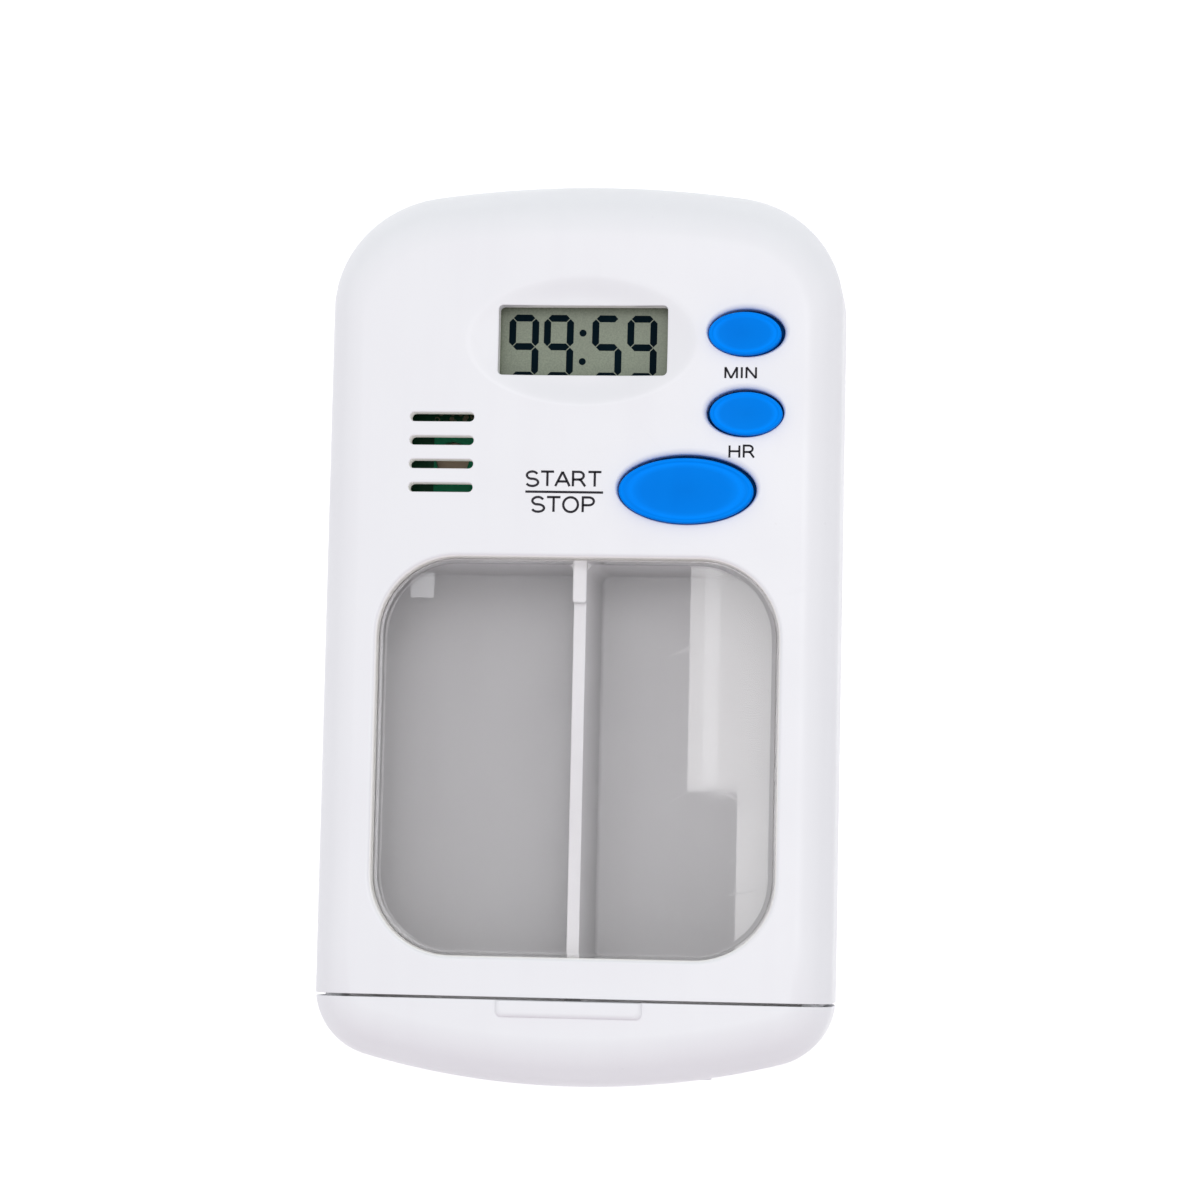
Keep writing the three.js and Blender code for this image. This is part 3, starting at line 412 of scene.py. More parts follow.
def feed(tree, inputs, values):
    """Links or plain values put on a node's inputs."""
    for key, value in values.items():
        if isinstance(value, bpy.types.NodeSocket):
            tree.links.new(value, inputs[key])
        else:
            inputs[key].default_value = value


def node(tree, kind, values=None, **settings):
    """A node with settings on it and values or links on its inputs."""
    made = tree.nodes.new(kind)
    for key, value in settings.items():
        setattr(made, key, value)
    feed(tree, made.inputs, values or {})
    return made


def group(name, inputs, outputs):
    """An empty shader node group with named sockets; each input has a kind."""
    tree = bpy.data.node_groups.new(name, "ShaderNodeTree")
    for title, kind in inputs.items():
        tree.interface.new_socket(title, in_out="INPUT", socket_type=f"NodeSocket{kind}")
    for title, kind in outputs.items():
        tree.interface.new_socket(title, in_out="OUTPUT", socket_type=f"NodeSocket{kind}")
    return tree, tree.nodes.new("NodeGroupInput").outputs, tree.nodes.new("NodeGroupOutput").inputs


def blended(tree, factor, first, second, kind="MIX"):
    """The colour output of a mix of two colours."""
    mix = node(tree, "ShaderNodeMix", {0: factor, 6: first, 7: second}, data_type="RGBA", blend_type=kind)
    return mix.outputs[2]


def ranged(tree, value, low, high, to_low=0.0, to_high=1.0):
    """A value carried from one range to another and kept inside it."""
    values = {"Value": value, "From Min": low, "From Max": high, "To Min": to_low, "To Max": to_high}
    return node(tree, "ShaderNodeMapRange", values).outputs[0]


def summed(tree, first, second, kind="ADD"):
    """The sum of two values, or the result of another kind of sum."""
    return node(tree, "ShaderNodeMath", {0: first, 1: second}, operation=kind).outputs[0]


def scaled(tree, first, second):
    """The product of two values."""
    return summed(tree, first, second, "MULTIPLY")


def noise(tree, place, scale, detail):
    """The value of a noise texture at a place."""
    return node(tree, "ShaderNodeTexNoise", {"Vector": place, "Scale": scale, "Detail": detail}).outputs[0]


def relief(tree, height, strength, distance):
    """A bump of a height."""
    values = {"Height": height, "Strength": strength, "Distance": distance}
    return node(tree, "ShaderNodeBump", values).outputs[0]


def moulding_group():
    """Moulded plastic: fine spark-eroded grain, a broad cloudy mottle and faint flow streaks."""
    inputs = {"Vector": "Vector", "Color": "Color", "Shade": "Color"}
    inputs.update(dict.fromkeys(("Mottle", "Grain Scale", "Roughness", "Spread"), "Float"))
    outputs = {"Color": "Color", "Roughness": "Float", "Height": "Float"}
    tree, given, out = group("moulded_grain", inputs, outputs)
    grain = noise(tree, given["Vector"], given["Grain Scale"], 3.0)
    cloud = noise(tree, given["Vector"], 90.0, 4.0)
    stretch = node(tree, "ShaderNodeMapping", {"Vector": given["Vector"], "Scale": (1.0, 0.12, 1.0)})
    flow = noise(tree, stretch.outputs[0], 420.0, 2.0)
    patches = ranged(tree, cloud, 0.35, 0.7)
    streaks = ranged(tree, flow, 0.45, 0.75)
    amount = scaled(tree, summed(tree, patches, streaks), given["Mottle"])
    spread = scaled(tree, summed(tree, grain, 0.5, "SUBTRACT"), given["Spread"])
    patchy = scaled(tree, summed(tree, patches, 0.5, "SUBTRACT"), given["Spread"])
    feed(tree, out, {
        "Color": blended(tree, amount, given["Color"], given["Shade"]),
        "Roughness": summed(tree, summed(tree, given["Roughness"], spread), patchy),
        "Height": grain,
    })
    return tree


def handling_group():
    """Handling: hair scratches as thin bands of a distorted wave in three directions, and dust specks."""
    inputs = {"Vector": "Vector", "Scratches": "Float", "Dust": "Float"}
    tree, given, out = group("handling_marks", inputs, {"Scratch": "Float", "Speck": "Float"})
    masks = []
    for turn, scale in ((0.6, 34.0), (2.1, 47.0), (1.3, 26.0)):
        turned = node(tree, "ShaderNodeMapping", {"Vector": given["Vector"], "Rotation": (0.1, 0.2, turn)})
        mapped = turned.outputs[0]
        values = {"Vector": mapped, "Scale": scale, "Distortion": 9.0, "Detail": 2.0, "Detail Scale": 0.6}
        wave = node(tree, "ShaderNodeTexWave", values)
        line = ranged(tree, wave.outputs["Fac"], 0.996, 1.0)
        masks.append(scaled(tree, line, ranged(tree, noise(tree, mapped, 160.0, 1.0), 0.56, 0.66)))
    both = summed(tree, summed(tree, masks[0], masks[1], "MAXIMUM"), masks[2], "MAXIMUM")
    cells = node(tree, "ShaderNodeTexVoronoi", {"Vector": given["Vector"], "Scale": 520.0}).outputs
    dots = ranged(tree, cells["Distance"], 0.09, 0.05)
    pick = ranged(tree, cells["Color"], 0.80, 0.86)
    speck = scaled(tree, scaled(tree, dots, pick), given["Dust"])
    feed(tree, out, {"Scratch": scaled(tree, both, given["Scratches"]), "Speck": speck})
    return tree


MOULDED = moulding_group()
HANDLED = handling_group()


def use(tree, what, **values):
    """The outputs of a group placed with its own values; underscores in names stand for spaces."""
    placed = node(tree, "ShaderNodeGroup", node_tree=what)
    feed(tree, placed.inputs, {key.replace("_", " "): value for key, value in values.items()})
    return placed.outputs


def blank(name):
    """A new material with its tree, its Principled shader and its object coordinates."""
    material = bpy.data.materials.new(name)
    material.use_nodes = True
    tree = material.node_tree
    place = node(tree, "ShaderNodeTexCoord").outputs["Object"]
    return material, tree, tree.nodes["Principled BSDF"], place


def moulded(name, color, shade, roughness, mottle=0.25, grain=5000.0, scratches=0.5, dust=0.3, speck=None,
            bump=0.25, specular=0.5, painted_shading=None, deep=None, glow=None):
    """A moulded plastic or rubber with grain, mottle, hair scratches and dust.

    The mesh's painted shading value scales the colour, a painted shade and painted highlight; deep dims it
    from a height down to a lower one, a painted shade; and glow is the colour and the strength of a painted
    glow, emission that stands in for the light that comes through thin walls."""
    material, tree, shader, place = blank(name)
    surface = use(tree, MOULDED, Vector=place, Color=(*color, 1), Shade=(*shade, 1), Mottle=mottle,
                  Roughness=roughness, Spread=0.08, Grain_Scale=grain)
    marks = use(tree, HANDLED, Vector=place, Scratches=scratches, Dust=dust)
    finish = blended(tree, marks["Speck"], surface["Color"], (*(speck or shade), 1))
    # Painted shade: the colour dims from the higher height down to the lower one
    if deep:
        low, painted_floor_shade, high = deep
        depth = node(tree, "ShaderNodeSeparateXYZ", {0: place}).outputs["Z"]
        finish = blended(tree, 1.0, finish, ranged(tree, depth, low * MM, high * MM, painted_floor_shade, 1.0), "MULTIPLY")
    # Painted shade and painted highlight: the colour scaled by a value read from the mesh
    if painted_shading:
        given = node(tree, "ShaderNodeAttribute", attribute_name="painted_shading").outputs["Fac"]
        finish = blended(tree, 1.0, finish, ranged(tree, given, -1.0, 1.0, 1 - painted_shading, 1 + painted_shading), "MULTIPLY")
    # Painted glow: emission where the mesh marks walls near openings
    if glow:
        thin = node(tree, "ShaderNodeAttribute", attribute_name="thin").outputs["Fac"]
        lit, strength = glow
        glowing = scaled(tree, thin, strength)
        feed(tree, shader.inputs, {"Emission Strength": glowing, "Emission Color": (*lit, 1)})
    height = summed(tree, surface["Height"], marks["Scratch"], "SUBTRACT")
    feed(tree, shader.inputs, {
        "Base Color": finish,
        "Roughness": summed(tree, surface["Roughness"], scaled(tree, marks["Scratch"], 0.25)),
        "Normal": relief(tree, height, bump, 2e-5),
        "Specular IOR Level": specular,
        "Metallic": 0.0,
    })
    return material


def metal(name, color, roughness):
    """A plated or rolled metal with fine grain and faint stains."""
    material, tree, shader, place = blank(name)
    shade = tuple(0.72 * part for part in color)
    surface = use(tree, MOULDED, Vector=place, Color=(*color, 1), Shade=(*shade, 1), Mottle=0.35,
                  Roughness=roughness, Spread=0.12, Grain_Scale=2600.0)
    feed(tree, shader.inputs, {
        "Base Color": surface["Color"],
        "Roughness": surface["Roughness"],
        "Normal": relief(tree, surface["Height"], 0.3, 1e-5),
        "Metallic": 1.0,
    })
    return material


def clear_window():
    """Clear polished acrylic with hair scratches, specks of dust and faint haze.

    It stops no lamp light: rays that ask for shadow pass straight through it."""
    material, tree, shader, place = blank("clear_acrylic")
    marks = use(tree, HANDLED, Vector=place, Scratches=0.25, Dust=0.3)
    haze = ranged(tree, noise(tree, place, 110.0, 5.0), 0.45, 0.8, 0.0, 0.035)
    feed(tree, shader.inputs, {
        "Roughness": summed(tree, scaled(tree, marks["Scratch"], 0.3), haze),
        "Normal": relief(tree, noise(tree, place, 40.0, 1.0), 0.06, 2e-5),
        "Base Color": (0.985, 0.985, 0.99, 1),
        "Transmission Weight": 1.0,
        "IOR": 1.49,
    })
    clear = node(tree, "ShaderNodeBsdfTransparent", {"Color": (0.95, 0.95, 0.96, 1)}).outputs[0]
    shadow = node(tree, "ShaderNodeLightPath").outputs["Is Shadow Ray"]
    mix = node(tree, "ShaderNodeMixShader", {0: shadow, 1: shader.outputs[0], 2: clear})
    tree.links.new(mix.outputs[0], tree.nodes["Material Output"].inputs["Surface"])
    return material


def display_film():
    """Grey-green polarising film over a matt reflector: fine speckle, soft blotches and a satin gloss."""
    material, tree, shader, place = blank("display_film")
    speckle = noise(tree, place, 7000.0, 2.0)
    ground = blended(tree, ranged(tree, speckle, 0.3, 0.7), (0.16, 0.19, 0.135, 1), (0.235, 0.27, 0.195, 1))
    blotch = ranged(tree, noise(tree, place, 260.0, 2.0), 0.4, 0.7, 0.0, 0.25)
    feed(tree, shader.inputs, {
        "Base Color": blended(tree, blotch, ground, (0.17, 0.19, 0.14, 1)),
        "Roughness": ranged(tree, speckle, 0.3, 0.7, 0.32, 0.44),
        "Normal": relief(tree, speckle, 0.2, 1e-5),
    })
    return material


def solder_mask():
    """Green solder mask with tracks as edges of a square cell pattern, a lighter green right of one x and
    below one y.

    Left of that x the mask is dark and plain, and above that y it has faint printed rings."""
    material, tree, shader, place = blank("solder_mask")
    cells = node(tree, "ShaderNodeTexVoronoi", {"Vector": place, "Scale": 520.0, "Randomness": 0.75},
                 distance="CHEBYCHEV", feature="F1")
    tracks = ranged(tree, cells.outputs["Distance"], 0.28, 0.31)
    cloud = noise(tree, place, 300.0, 3.0)
    lighter_green = blended(tree, cloud, (0.0, 0.17, 0.07, 1), (0.0, 0.22, 0.095, 1))
    lighter_green = blended(tree, tracks, lighter_green, (0.001, 0.26, 0.115, 1))
    axes = node(tree, "ShaderNodeSeparateXYZ", {0: place}).outputs
    right_of_edge = ranged(tree, axes["X"], LIGHTER_GREEN_LEFT * MM, (LIGHTER_GREEN_LEFT + LIGHTER_GREEN_FADE) * MM)
    below = ranged(tree, axes["Y"], (LIGHTER_GREEN_TOP + LIGHTER_GREEN_FADE) * MM, LIGHTER_GREEN_TOP * MM)
    values = {"Vector": place, "Scale": 1150.0, "Randomness": 0.9}
    ring = node(tree, "ShaderNodeTexVoronoi", values, feature="F1").outputs["Distance"]
    printed = scaled(tree, ranged(tree, ring, 0.2, 0.25), ranged(tree, ring, 0.42, 0.37))
    mask = (0.004, 0.062, 0.026, 1)
    bare = blended(tree, scaled(tree, printed, 0.7), mask, (0.26, 0.21, 0.15, 1))
    plain = blended(tree, right_of_edge, mask, bare)
    feed(tree, shader.inputs, {
        "Base Color": blended(tree, scaled(tree, right_of_edge, below), plain, lighter_green),
        "Roughness": ranged(tree, cloud, 0.3, 0.7, 0.3, 0.5),
        "Specular IOR Level": 0.15,
        "Normal": relief(tree, tracks, 0.6, 4e-5),
    })
    return material


# The case: faint painted shading in the dish and a warm, faint painted glow on opening walls
WHITE = moulded("case_white", (0.86, 0.865, 0.885), (0.835, 0.835, 0.86), 0.34, mottle=0.3, scratches=0.35,
                dust=0.12, speck=(0.6, 0.58, 0.58), bump=0.16, grain=3200.0, painted_shading=0.07,
                glow=((0.9, 0.84, 0.7), 0.15))
# The tray: painted shade, its colour dimmed towards the floor of the wells
TRAY_WHITE = moulded("tray_white", (0.84, 0.825, 0.835), (0.79, 0.77, 0.78), 0.42, mottle=0.35, dust=0.25,
                     speck=(0.6, 0.52, 0.48), deep=(3.6, 0.6, 16.2))
# The buttons: strong painted shading, a highlight along the bead and shade down the wall
BLUE = moulded("button_blue", (0.0, 0.225, 0.86), (0.0, 0.2, 0.81), 0.36, mottle=0.4, dust=0.1,
               speck=(0.1, 0.35, 0.9), bump=0.2, grain=3600.0, specular=0.015, painted_shading=0.6)
CLEAR = clear_window()
INK = moulded("label_ink", (0.014, 0.013, 0.018), (0.03, 0.028, 0.035), 0.6, mottle=0.6, dust=0.0,
              grain=9000.0, specular=0.2)
LIQUID = moulded("display_segment", (0.001, 0.006, 0.01), (0.002, 0.009, 0.014), 0.55, mottle=0.5, dust=0.0,
                 grain=8000.0, specular=0.02)
FINISHES = {
    "case": WHITE,
    "tray": TRAY_WHITE,
    "button": BLUE,
    "window": CLEAR,
    "glass": moulded("display_glass", (0.42, 0.47, 0.38), (0.38, 0.43, 0.34), 0.1, mottle=0.3, dust=0.2),
    "display": display_film(),
    "holder": moulded("holder_black", (0.02, 0.02, 0.022), (0.035, 0.035, 0.037), 0.55, mottle=0.5),
    "board": solder_mask(),
    "black": moulded("part_black", (0.018, 0.018, 0.02), (0.04, 0.04, 0.042), 0.45, mottle=0.6),
    "ceramic": moulded("fired_ceramic", (0.8, 0.6, 0.44), (0.7, 0.52, 0.37), 0.55, mottle=0.5, grain=6000.0),
    "steel": metal("plated_steel", (0.62, 0.63, 0.65), 0.3),
    "brass": metal("spring_brass", (0.75, 0.56, 0.27), 0.32),
    "rubber": moulded("silicone_grey", (0.52, 0.54, 0.53), (0.45, 0.47, 0.46), 0.65, mottle=0.4),
    "dark_rubber": moulded("carbon_rubber", (0.025, 0.025, 0.027), (0.045, 0.045, 0.048), 0.75, mottle=0.5),
    "red_wire": moulded("wire_red", (0.45, 0.02, 0.02), (0.38, 0.015, 0.015), 0.4, mottle=0.4),
}
for part in frame["record"]["subparts"]:
    carried = frame["nodes"][part["node"]]
    carried.data.materials.clear()
    carried.data.materials.append(FINISHES[part["material_slot"]])


# Front shell

REST_OFFSETS = {"min": (-0.13, -0.205), "hr": (0.14, -0.195), "start_stop": (-0.05, -0.225)}
LIP_LEAN = 0.75
WINDOW_LIP, BUTTON_LIP, SLOT_LIP = 0.5, 0.42, 0.12
SLOT_COUNT, SLOT_PITCH = 4, 2.52
SLOT_X, SLOT_TOP_Y, SLOT_HALF_LENGTH, SLOT_HALF_WIDTH = -14.93, 22.46, 3.45, 0.5
SLOTS = [(SLOT_X - SLOT_HALF_LENGTH, SLOT_X + SLOT_HALF_LENGTH, y - SLOT_HALF_WIDTH, y + SLOT_HALF_WIDTH,
          SLOT_HALF_WIDTH) for y in SLOT_TOP_Y - SLOT_PITCH * np.arange(SLOT_COUNT)]
APERTURE_EDGE = ((0.08, 0.0), (0.02, 0.03), (0.0, 0.09))
APERTURE_STEPS, LONG_SIDE = 14, 2.0
DISH_LEVEL, DISH_MEETING = 0.6, 0.2
# Painted shading of the dish by share of the way out: painted shade inside, a painted highlight near the rim
DISH_PAINTED_SHADING = ([0, 0.90, 0.945, 0.965, 0.985, 1], [-0.75, -0.5, -0.25, 0.3, 0.3, 0])
# Painted glow on opening walls: its strength at the slots, aperture and window, and how far round each it
# reaches
PAINTED_GLOW_SLOTS, PAINTED_GLOW_APERTURE, PAINTED_GLOW_WINDOW = 1.0, 0.8, 1.3
NEAR_WINDOW, NEAR_SLOTS, NEAR_DISPLAY = 0.45, 1.0, 0.85
BELOW_FACE, BELOW_DISH = 0.15, 0.05
LINTEL_LOW, LINTEL_BACK, LINTEL_ENDS, LINTEL_ROOT_ENDS = 16.75, -36.0, 2.9, 1.9
PARTITION_THICK = 1.2
PARTITION_FRONT = measured("drawer_tray")[1][1] + CLEARANCE
PARTITION_BACK = PARTITION_FRONT + PARTITION_THICK
PARTITION_HALF = HALF_WIDTH - WALL + SUNK
BOSS, SCREW_BORE, BOARD_BOSS, BOARD_BORE = 2.6, 1.3, 1.9, 1.1
BOSS_ROOT = INNER_FACE + 2 * SUNK


def button_lip(name, grow):
    """A button hole grown by its lip, which is wider on the side that the button leans away from."""
    x, y, half_x, half_y = BUTTONS[name]
    off_x, off_y = REST_OFFSETS[name]
    lean = LIP_LEAN * grow / math.hypot(off_x, off_y)
    return oval((x - off_x * lean, y - off_y * lean, half_x, half_y), grow)


def hole_outlines():
    """Every opening in the face: its ring for a given growth, and the radius of its edge."""
    found = [(lambda grow: rounded_rectangle(WINDOW, grow, 16), WINDOW_LIP)]
    found += [(lambda grow, name=name: button_lip(name, grow), BUTTON_LIP) for name in BUTTONS]
    return found + [(lambda grow, box=box: rounded_rectangle(box, grow), SLOT_LIP) for box in SLOTS]


def dish_share(x, y):
    """How far out a place lies in the dish: 0 in its middle, 1 on its oval."""
    return np.hypot(x / DISH_X, (y - DISPLAY_Y) / DISH_Y)


def dish_height(points):
    """The dish's surface: level inside 0.6 of its oval, then a soft S that meets the face at a faint edge.

    With u from 0 to 1 over the rest, the depth is taken up by 0.8 (3 u^2 - 2 u^3) + 0.2 u."""
    rise = np.clip((dish_share(*points.T) - DISH_LEVEL) / (1 - DISH_LEVEL), 0, 1)
    return FACE - DISH_DEPTH * (1 - (1 - DISH_MEETING) * rise**2 * (3 - 2 * rise) - DISH_MEETING * rise)


def aperture_outline(grow):
    """The display opening's outline, its straight sides cut into short steps."""
    ring = rounded_rectangle(APERTURE, grow, 12)
    after = np.roll(ring, -1, 0)
    share = np.linspace(0, 1, APERTURE_STEPS, endpoint=False)[:, None]
    far = np.hypot(*(after - ring).T) > LONG_SIDE
    return np.concatenate([p + (q - p) * share if f else p[None] for p, q, f in zip(ring, after, far)])


def dish_surface():
    """Rings from the aperture's edge out to the oval, each point moving straight away from the middle.

    The aperture's wall starts from the dish's own height all along the edge, with a small round."""
    inner = aperture_outline(APERTURE_EDGE[0][0])
    centre = np.array([0.0, DISPLAY_Y])
    edge = centre + (inner - centre) / dish_share(*inner.T)[:, None]
    flat = inner + (edge - inner) * np.linspace(0, 1, 19)[:, None, None]
    rings = [at(ring, dish_height(ring)) for ring in flat]
    wall = [at(aperture_outline(grow), dish_height(inner) - drop) for grow, drop in APERTURE_EDGE]
    wall.append(at(aperture_outline(0.0), INNER_FACE))
    return tube(rings), tube(wall), rings[-1]


def face_painted_light(points):
    """Painted shading: darker in the dish, a painted shade, with a painted pale highlight line along its
    lower
    edge. Thin: walls near the openings that get a painted glow, standing in for the light they let in.
    """
    x, y, z = points.T
    share = dish_share(x, y)
    dish = np.interp(share, *DISH_PAINTED_SHADING)
    # The painted highlight line fades out towards the upper side of the dish
    upper = np.clip((y - DISPLAY_Y) / DISH_Y + DISH_LEVEL, 0, 1)
    dish = np.where(dish > 0, dish * (1 - upper), dish)
    in_dish = (share < 1.001) & (z > FACE - WALL / 2)
    slots = (np.abs(x - SLOT_X) < SLOT_HALF_LENGTH + NEAR_SLOTS) & (y > SLOTS[-1][2] - NEAR_SLOTS)
    slots &= (y < SLOTS[0][3] + NEAR_SLOTS) & (z < FACE - SLOT_LIP / 2)
    aperture = (np.abs(x) < APERTURE[1] + CLEARANCE) & (share < NEAR_DISPLAY)
    aperture &= z < FACE - DISH_DEPTH - BELOW_DISH
    around_window = (np.abs(x) < WINDOW[1] + NEAR_WINDOW) & (y < WINDOW[3] + NEAR_WINDOW)
    around_window &= (y > WINDOW[2] - NEAR_WINDOW) & (z < FACE - BELOW_FACE)
    strength = np.where(aperture, PAINTED_GLOW_APERTURE, np.where(around_window, PAINTED_GLOW_WINDOW, PAINTED_GLOW_SLOTS))
    wall = (z > INNER_FACE - SUNK) & (slots | aperture | around_window)
    return {"painted_shading": dish * in_dish, "thin": strength * wall}


def front_levels(inset):
    """The outer skin's levels: the small round at the parting line, the straight wall and the front roll."""
    edge = [plain_level(inset + (EDGE - inset) * short, PARTING + EDGE * drawn)
            for drawn, short in round_steps(1, 3)]
    return np.concatenate([*edge, levels(inset, "front", quarter(18))])


def parting_face(outer, strip, rebate, inner):
    """The flat face where the halves meet: along the outer edge, round the mouth, back along the inner."""
    left = [line[-1] for line in (*strip[1:], *rebate)]
    right = [line[0] for line in (*rebate[::-1], *strip[:0:-1])]
    return plate(np.concatenate([outer, left, inner[::-1], right]))


def boss(place, radius, low, bore, tip):
    """A post under the face with a bore for a screw, a little deeper than the screw's tip."""
    deep = tip + CLEARANCE
    path = [(0, BOSS_ROOT), (radius, BOSS_ROOT), (radius, low), (bore, low), (bore, deep), (0, deep)]
    return profile_round(path, place, 32)


def front_shell():
    """The front half: outer skin, face with its openings, rounded mouth, rebate for the drawer's tongue and
    inside skin with the lap over the back half; under the face a lintel, a partition and bosses."""
    skin = front_levels(0.0)
    outer = shell_rings(skin, MOUTH + EDGE)
    holes = hole_outlines()
    dish, aperture_wall, dish_ring = dish_surface()
    across = cross_section(skin, MOUTH + EDGE)[len(skin):-len(skin)]
    openings = [at(outline(radius), FACE) for outline, radius in holes]
    face = plate(np.concatenate([outer[-1], across[::-1]]), [*openings, dish_ring])
    lips = [lip(outline, FACE, INNER_FACE, radius) for outline, radius in holes]
    strip = [cross_section(front_levels(drawn), MOUTH + short) for drawn, short in round_steps(EDGE, 4)]
    recess = LAP_TOP + CLEARANCE
    inner_rows = [plain_level(FRONT_LAP, PARTING), plain_level(FRONT_LAP, recess), plain_level(WALL, recess),
                  levels(WALL, "front", quarter(8))]
    inner = shell_rings(np.concatenate(inner_rows), STEP)
    ceiling = np.linspace(inner[-1, 0], inner[-1, -1], 12)
    inner_holes = [at(outline(0.0), INNER_FACE) for outline, _ in holes]
    inner_holes.append(at(aperture_outline(0.0), INNER_FACE))
    back_of_face = plate(np.concatenate([inner[-1], ceiling[-2:0:-1]]), inner_holes)
    rebate = []
    for y in (MOUTH, STEP):
        right = side_line(REBATE_INSET, y, INNER_FACE, PARTING)
        rebate.append(np.concatenate([right, ceiling * [1, 0, 1] + [0, y, 0], mirrored(right[::-1])]))
    surfaces = [sheet(outer), face, dish, aperture_wall, *lips, sheet(strip), sheet(inner), back_of_face,
                parting_face(outer[0], strip, rebate, inner[0]), sheet(rebate),
                plate(np.concatenate([strip[-1], rebate[0][::-1]]))]
    right = np.concatenate([side_line(REBATE_INSET, STEP, INNER_FACE, PARTING), inner[::-1, 0]])
    surfaces += [plate(right), plate(mirrored(right))]
    half, root_half = HALF_WIDTH - LINTEL_ENDS, HALF_WIDTH - LINTEL_ROOT_ENDS
    root = INNER_FACE + SUNK
    surfaces += [
        solid_box((-half, MOUTH, LINTEL_LOW), (half, LINTEL_BACK, TONGUE_TOP)),
        solid_box((-root_half, STEP, LINTEL_LOW), (root_half, LINTEL_BACK, root)),
        solid_box((-PARTITION_HALF, PARTITION_FRONT, recess), (PARTITION_HALF, PARTITION_BACK, root)),
    ]
    case_tip, board_tip = measured("case_screw_1")[1][2], measured("board_screw_1")[1][2]
    board_top = measured("circuit_board")[1][2]
    surfaces += [boss(place, BOSS, PARTING, SCREW_BORE, case_tip) for place in CASE_SCREWS]
    surfaces += [boss(place, BOARD_BOSS, board_top, BOARD_BORE, board_tip) for place in BOARD_SCREWS]
    make("front_cover", surfaces, WHITE, "case", ["front_shell"], painted_light_maps=face_painted_light)


# Back shell

DOOR_REACH, DOOR_RADIUS = (measured("battery_door")[1] - measured("battery_door")[0])[:2] / 2
DOOR_TOP = measured("battery_door")[1][2]
DOOR_TAB = 2.5
DOOR_HOLE_EDGE = ((0.12, 0.0), (0.04, 0.04), (0.0, 0.12))
SCREW_LOW, SCREW_TIP = measured("case_screw_1")[:, 2]
SCREW_HEAD, HEAD_TOP, SHANK = 1.9, 3.2, 1.0
HEAD_HOLE, HOLE_EDGE, SCREW_POST = 2.2, 0.2, 3.4
CELL_HOLE, POCKET_WALL, CELL_TOP = 6.2, 1.2, measured("button_cell")[1][2]
SEAT_RADIUS, SEAT_TOP = 5.9, measured("buzzer_disc")[0][2]


def back_levels(inset):
    """The back's levels: the round back edge, the straight wall, and the small round at the parting line."""
    edge = [plain_level(inset + (EDGE - inset) * short, PARTING - EDGE * drawn)
            for drawn, short in round_steps(1, 3)[::-1]]
    return np.concatenate([levels(inset, "back", quarter(10)[::-1]), *edge])


def door_hole(grow=0.0):
    """The door's hole with its two entry notches, which lie at 45 degrees to the closed door's tabs."""
    a = np.linspace(0, 2 * math.pi, 720, endpoint=False)
    reach = DOOR_REACH + CLEARANCE
    half = math.asin((DOOR_TAB + CLEARANCE) / reach)
    turn = np.abs((a - math.pi / 4 + math.pi / 2) % math.pi - math.pi / 2)
    radius = np.where(turn < half, reach, DOOR_RADIUS + CLEARANCE) + grow
    return np.stack([BATTERY[0] + radius * np.cos(a), BATTERY[1] + radius * np.sin(a)], 1)


def screw_well(place):
    """A screw's well: a rounded edge, the head's hole, its seat, the shank's hole and the post."""
    rings = [(HEAD_HOLE + short, drawn) for drawn, short in round_steps(HOLE_EDGE, 4)]
    post_top = PARTING - CLEARANCE
    rings += [(HEAD_HOLE, HEAD_TOP), (SCREW_BORE, HEAD_TOP), (SCREW_BORE, post_top), (SCREW_POST, post_top),
              (SCREW_POST, WALL)]
    return profile_round(rings, place)


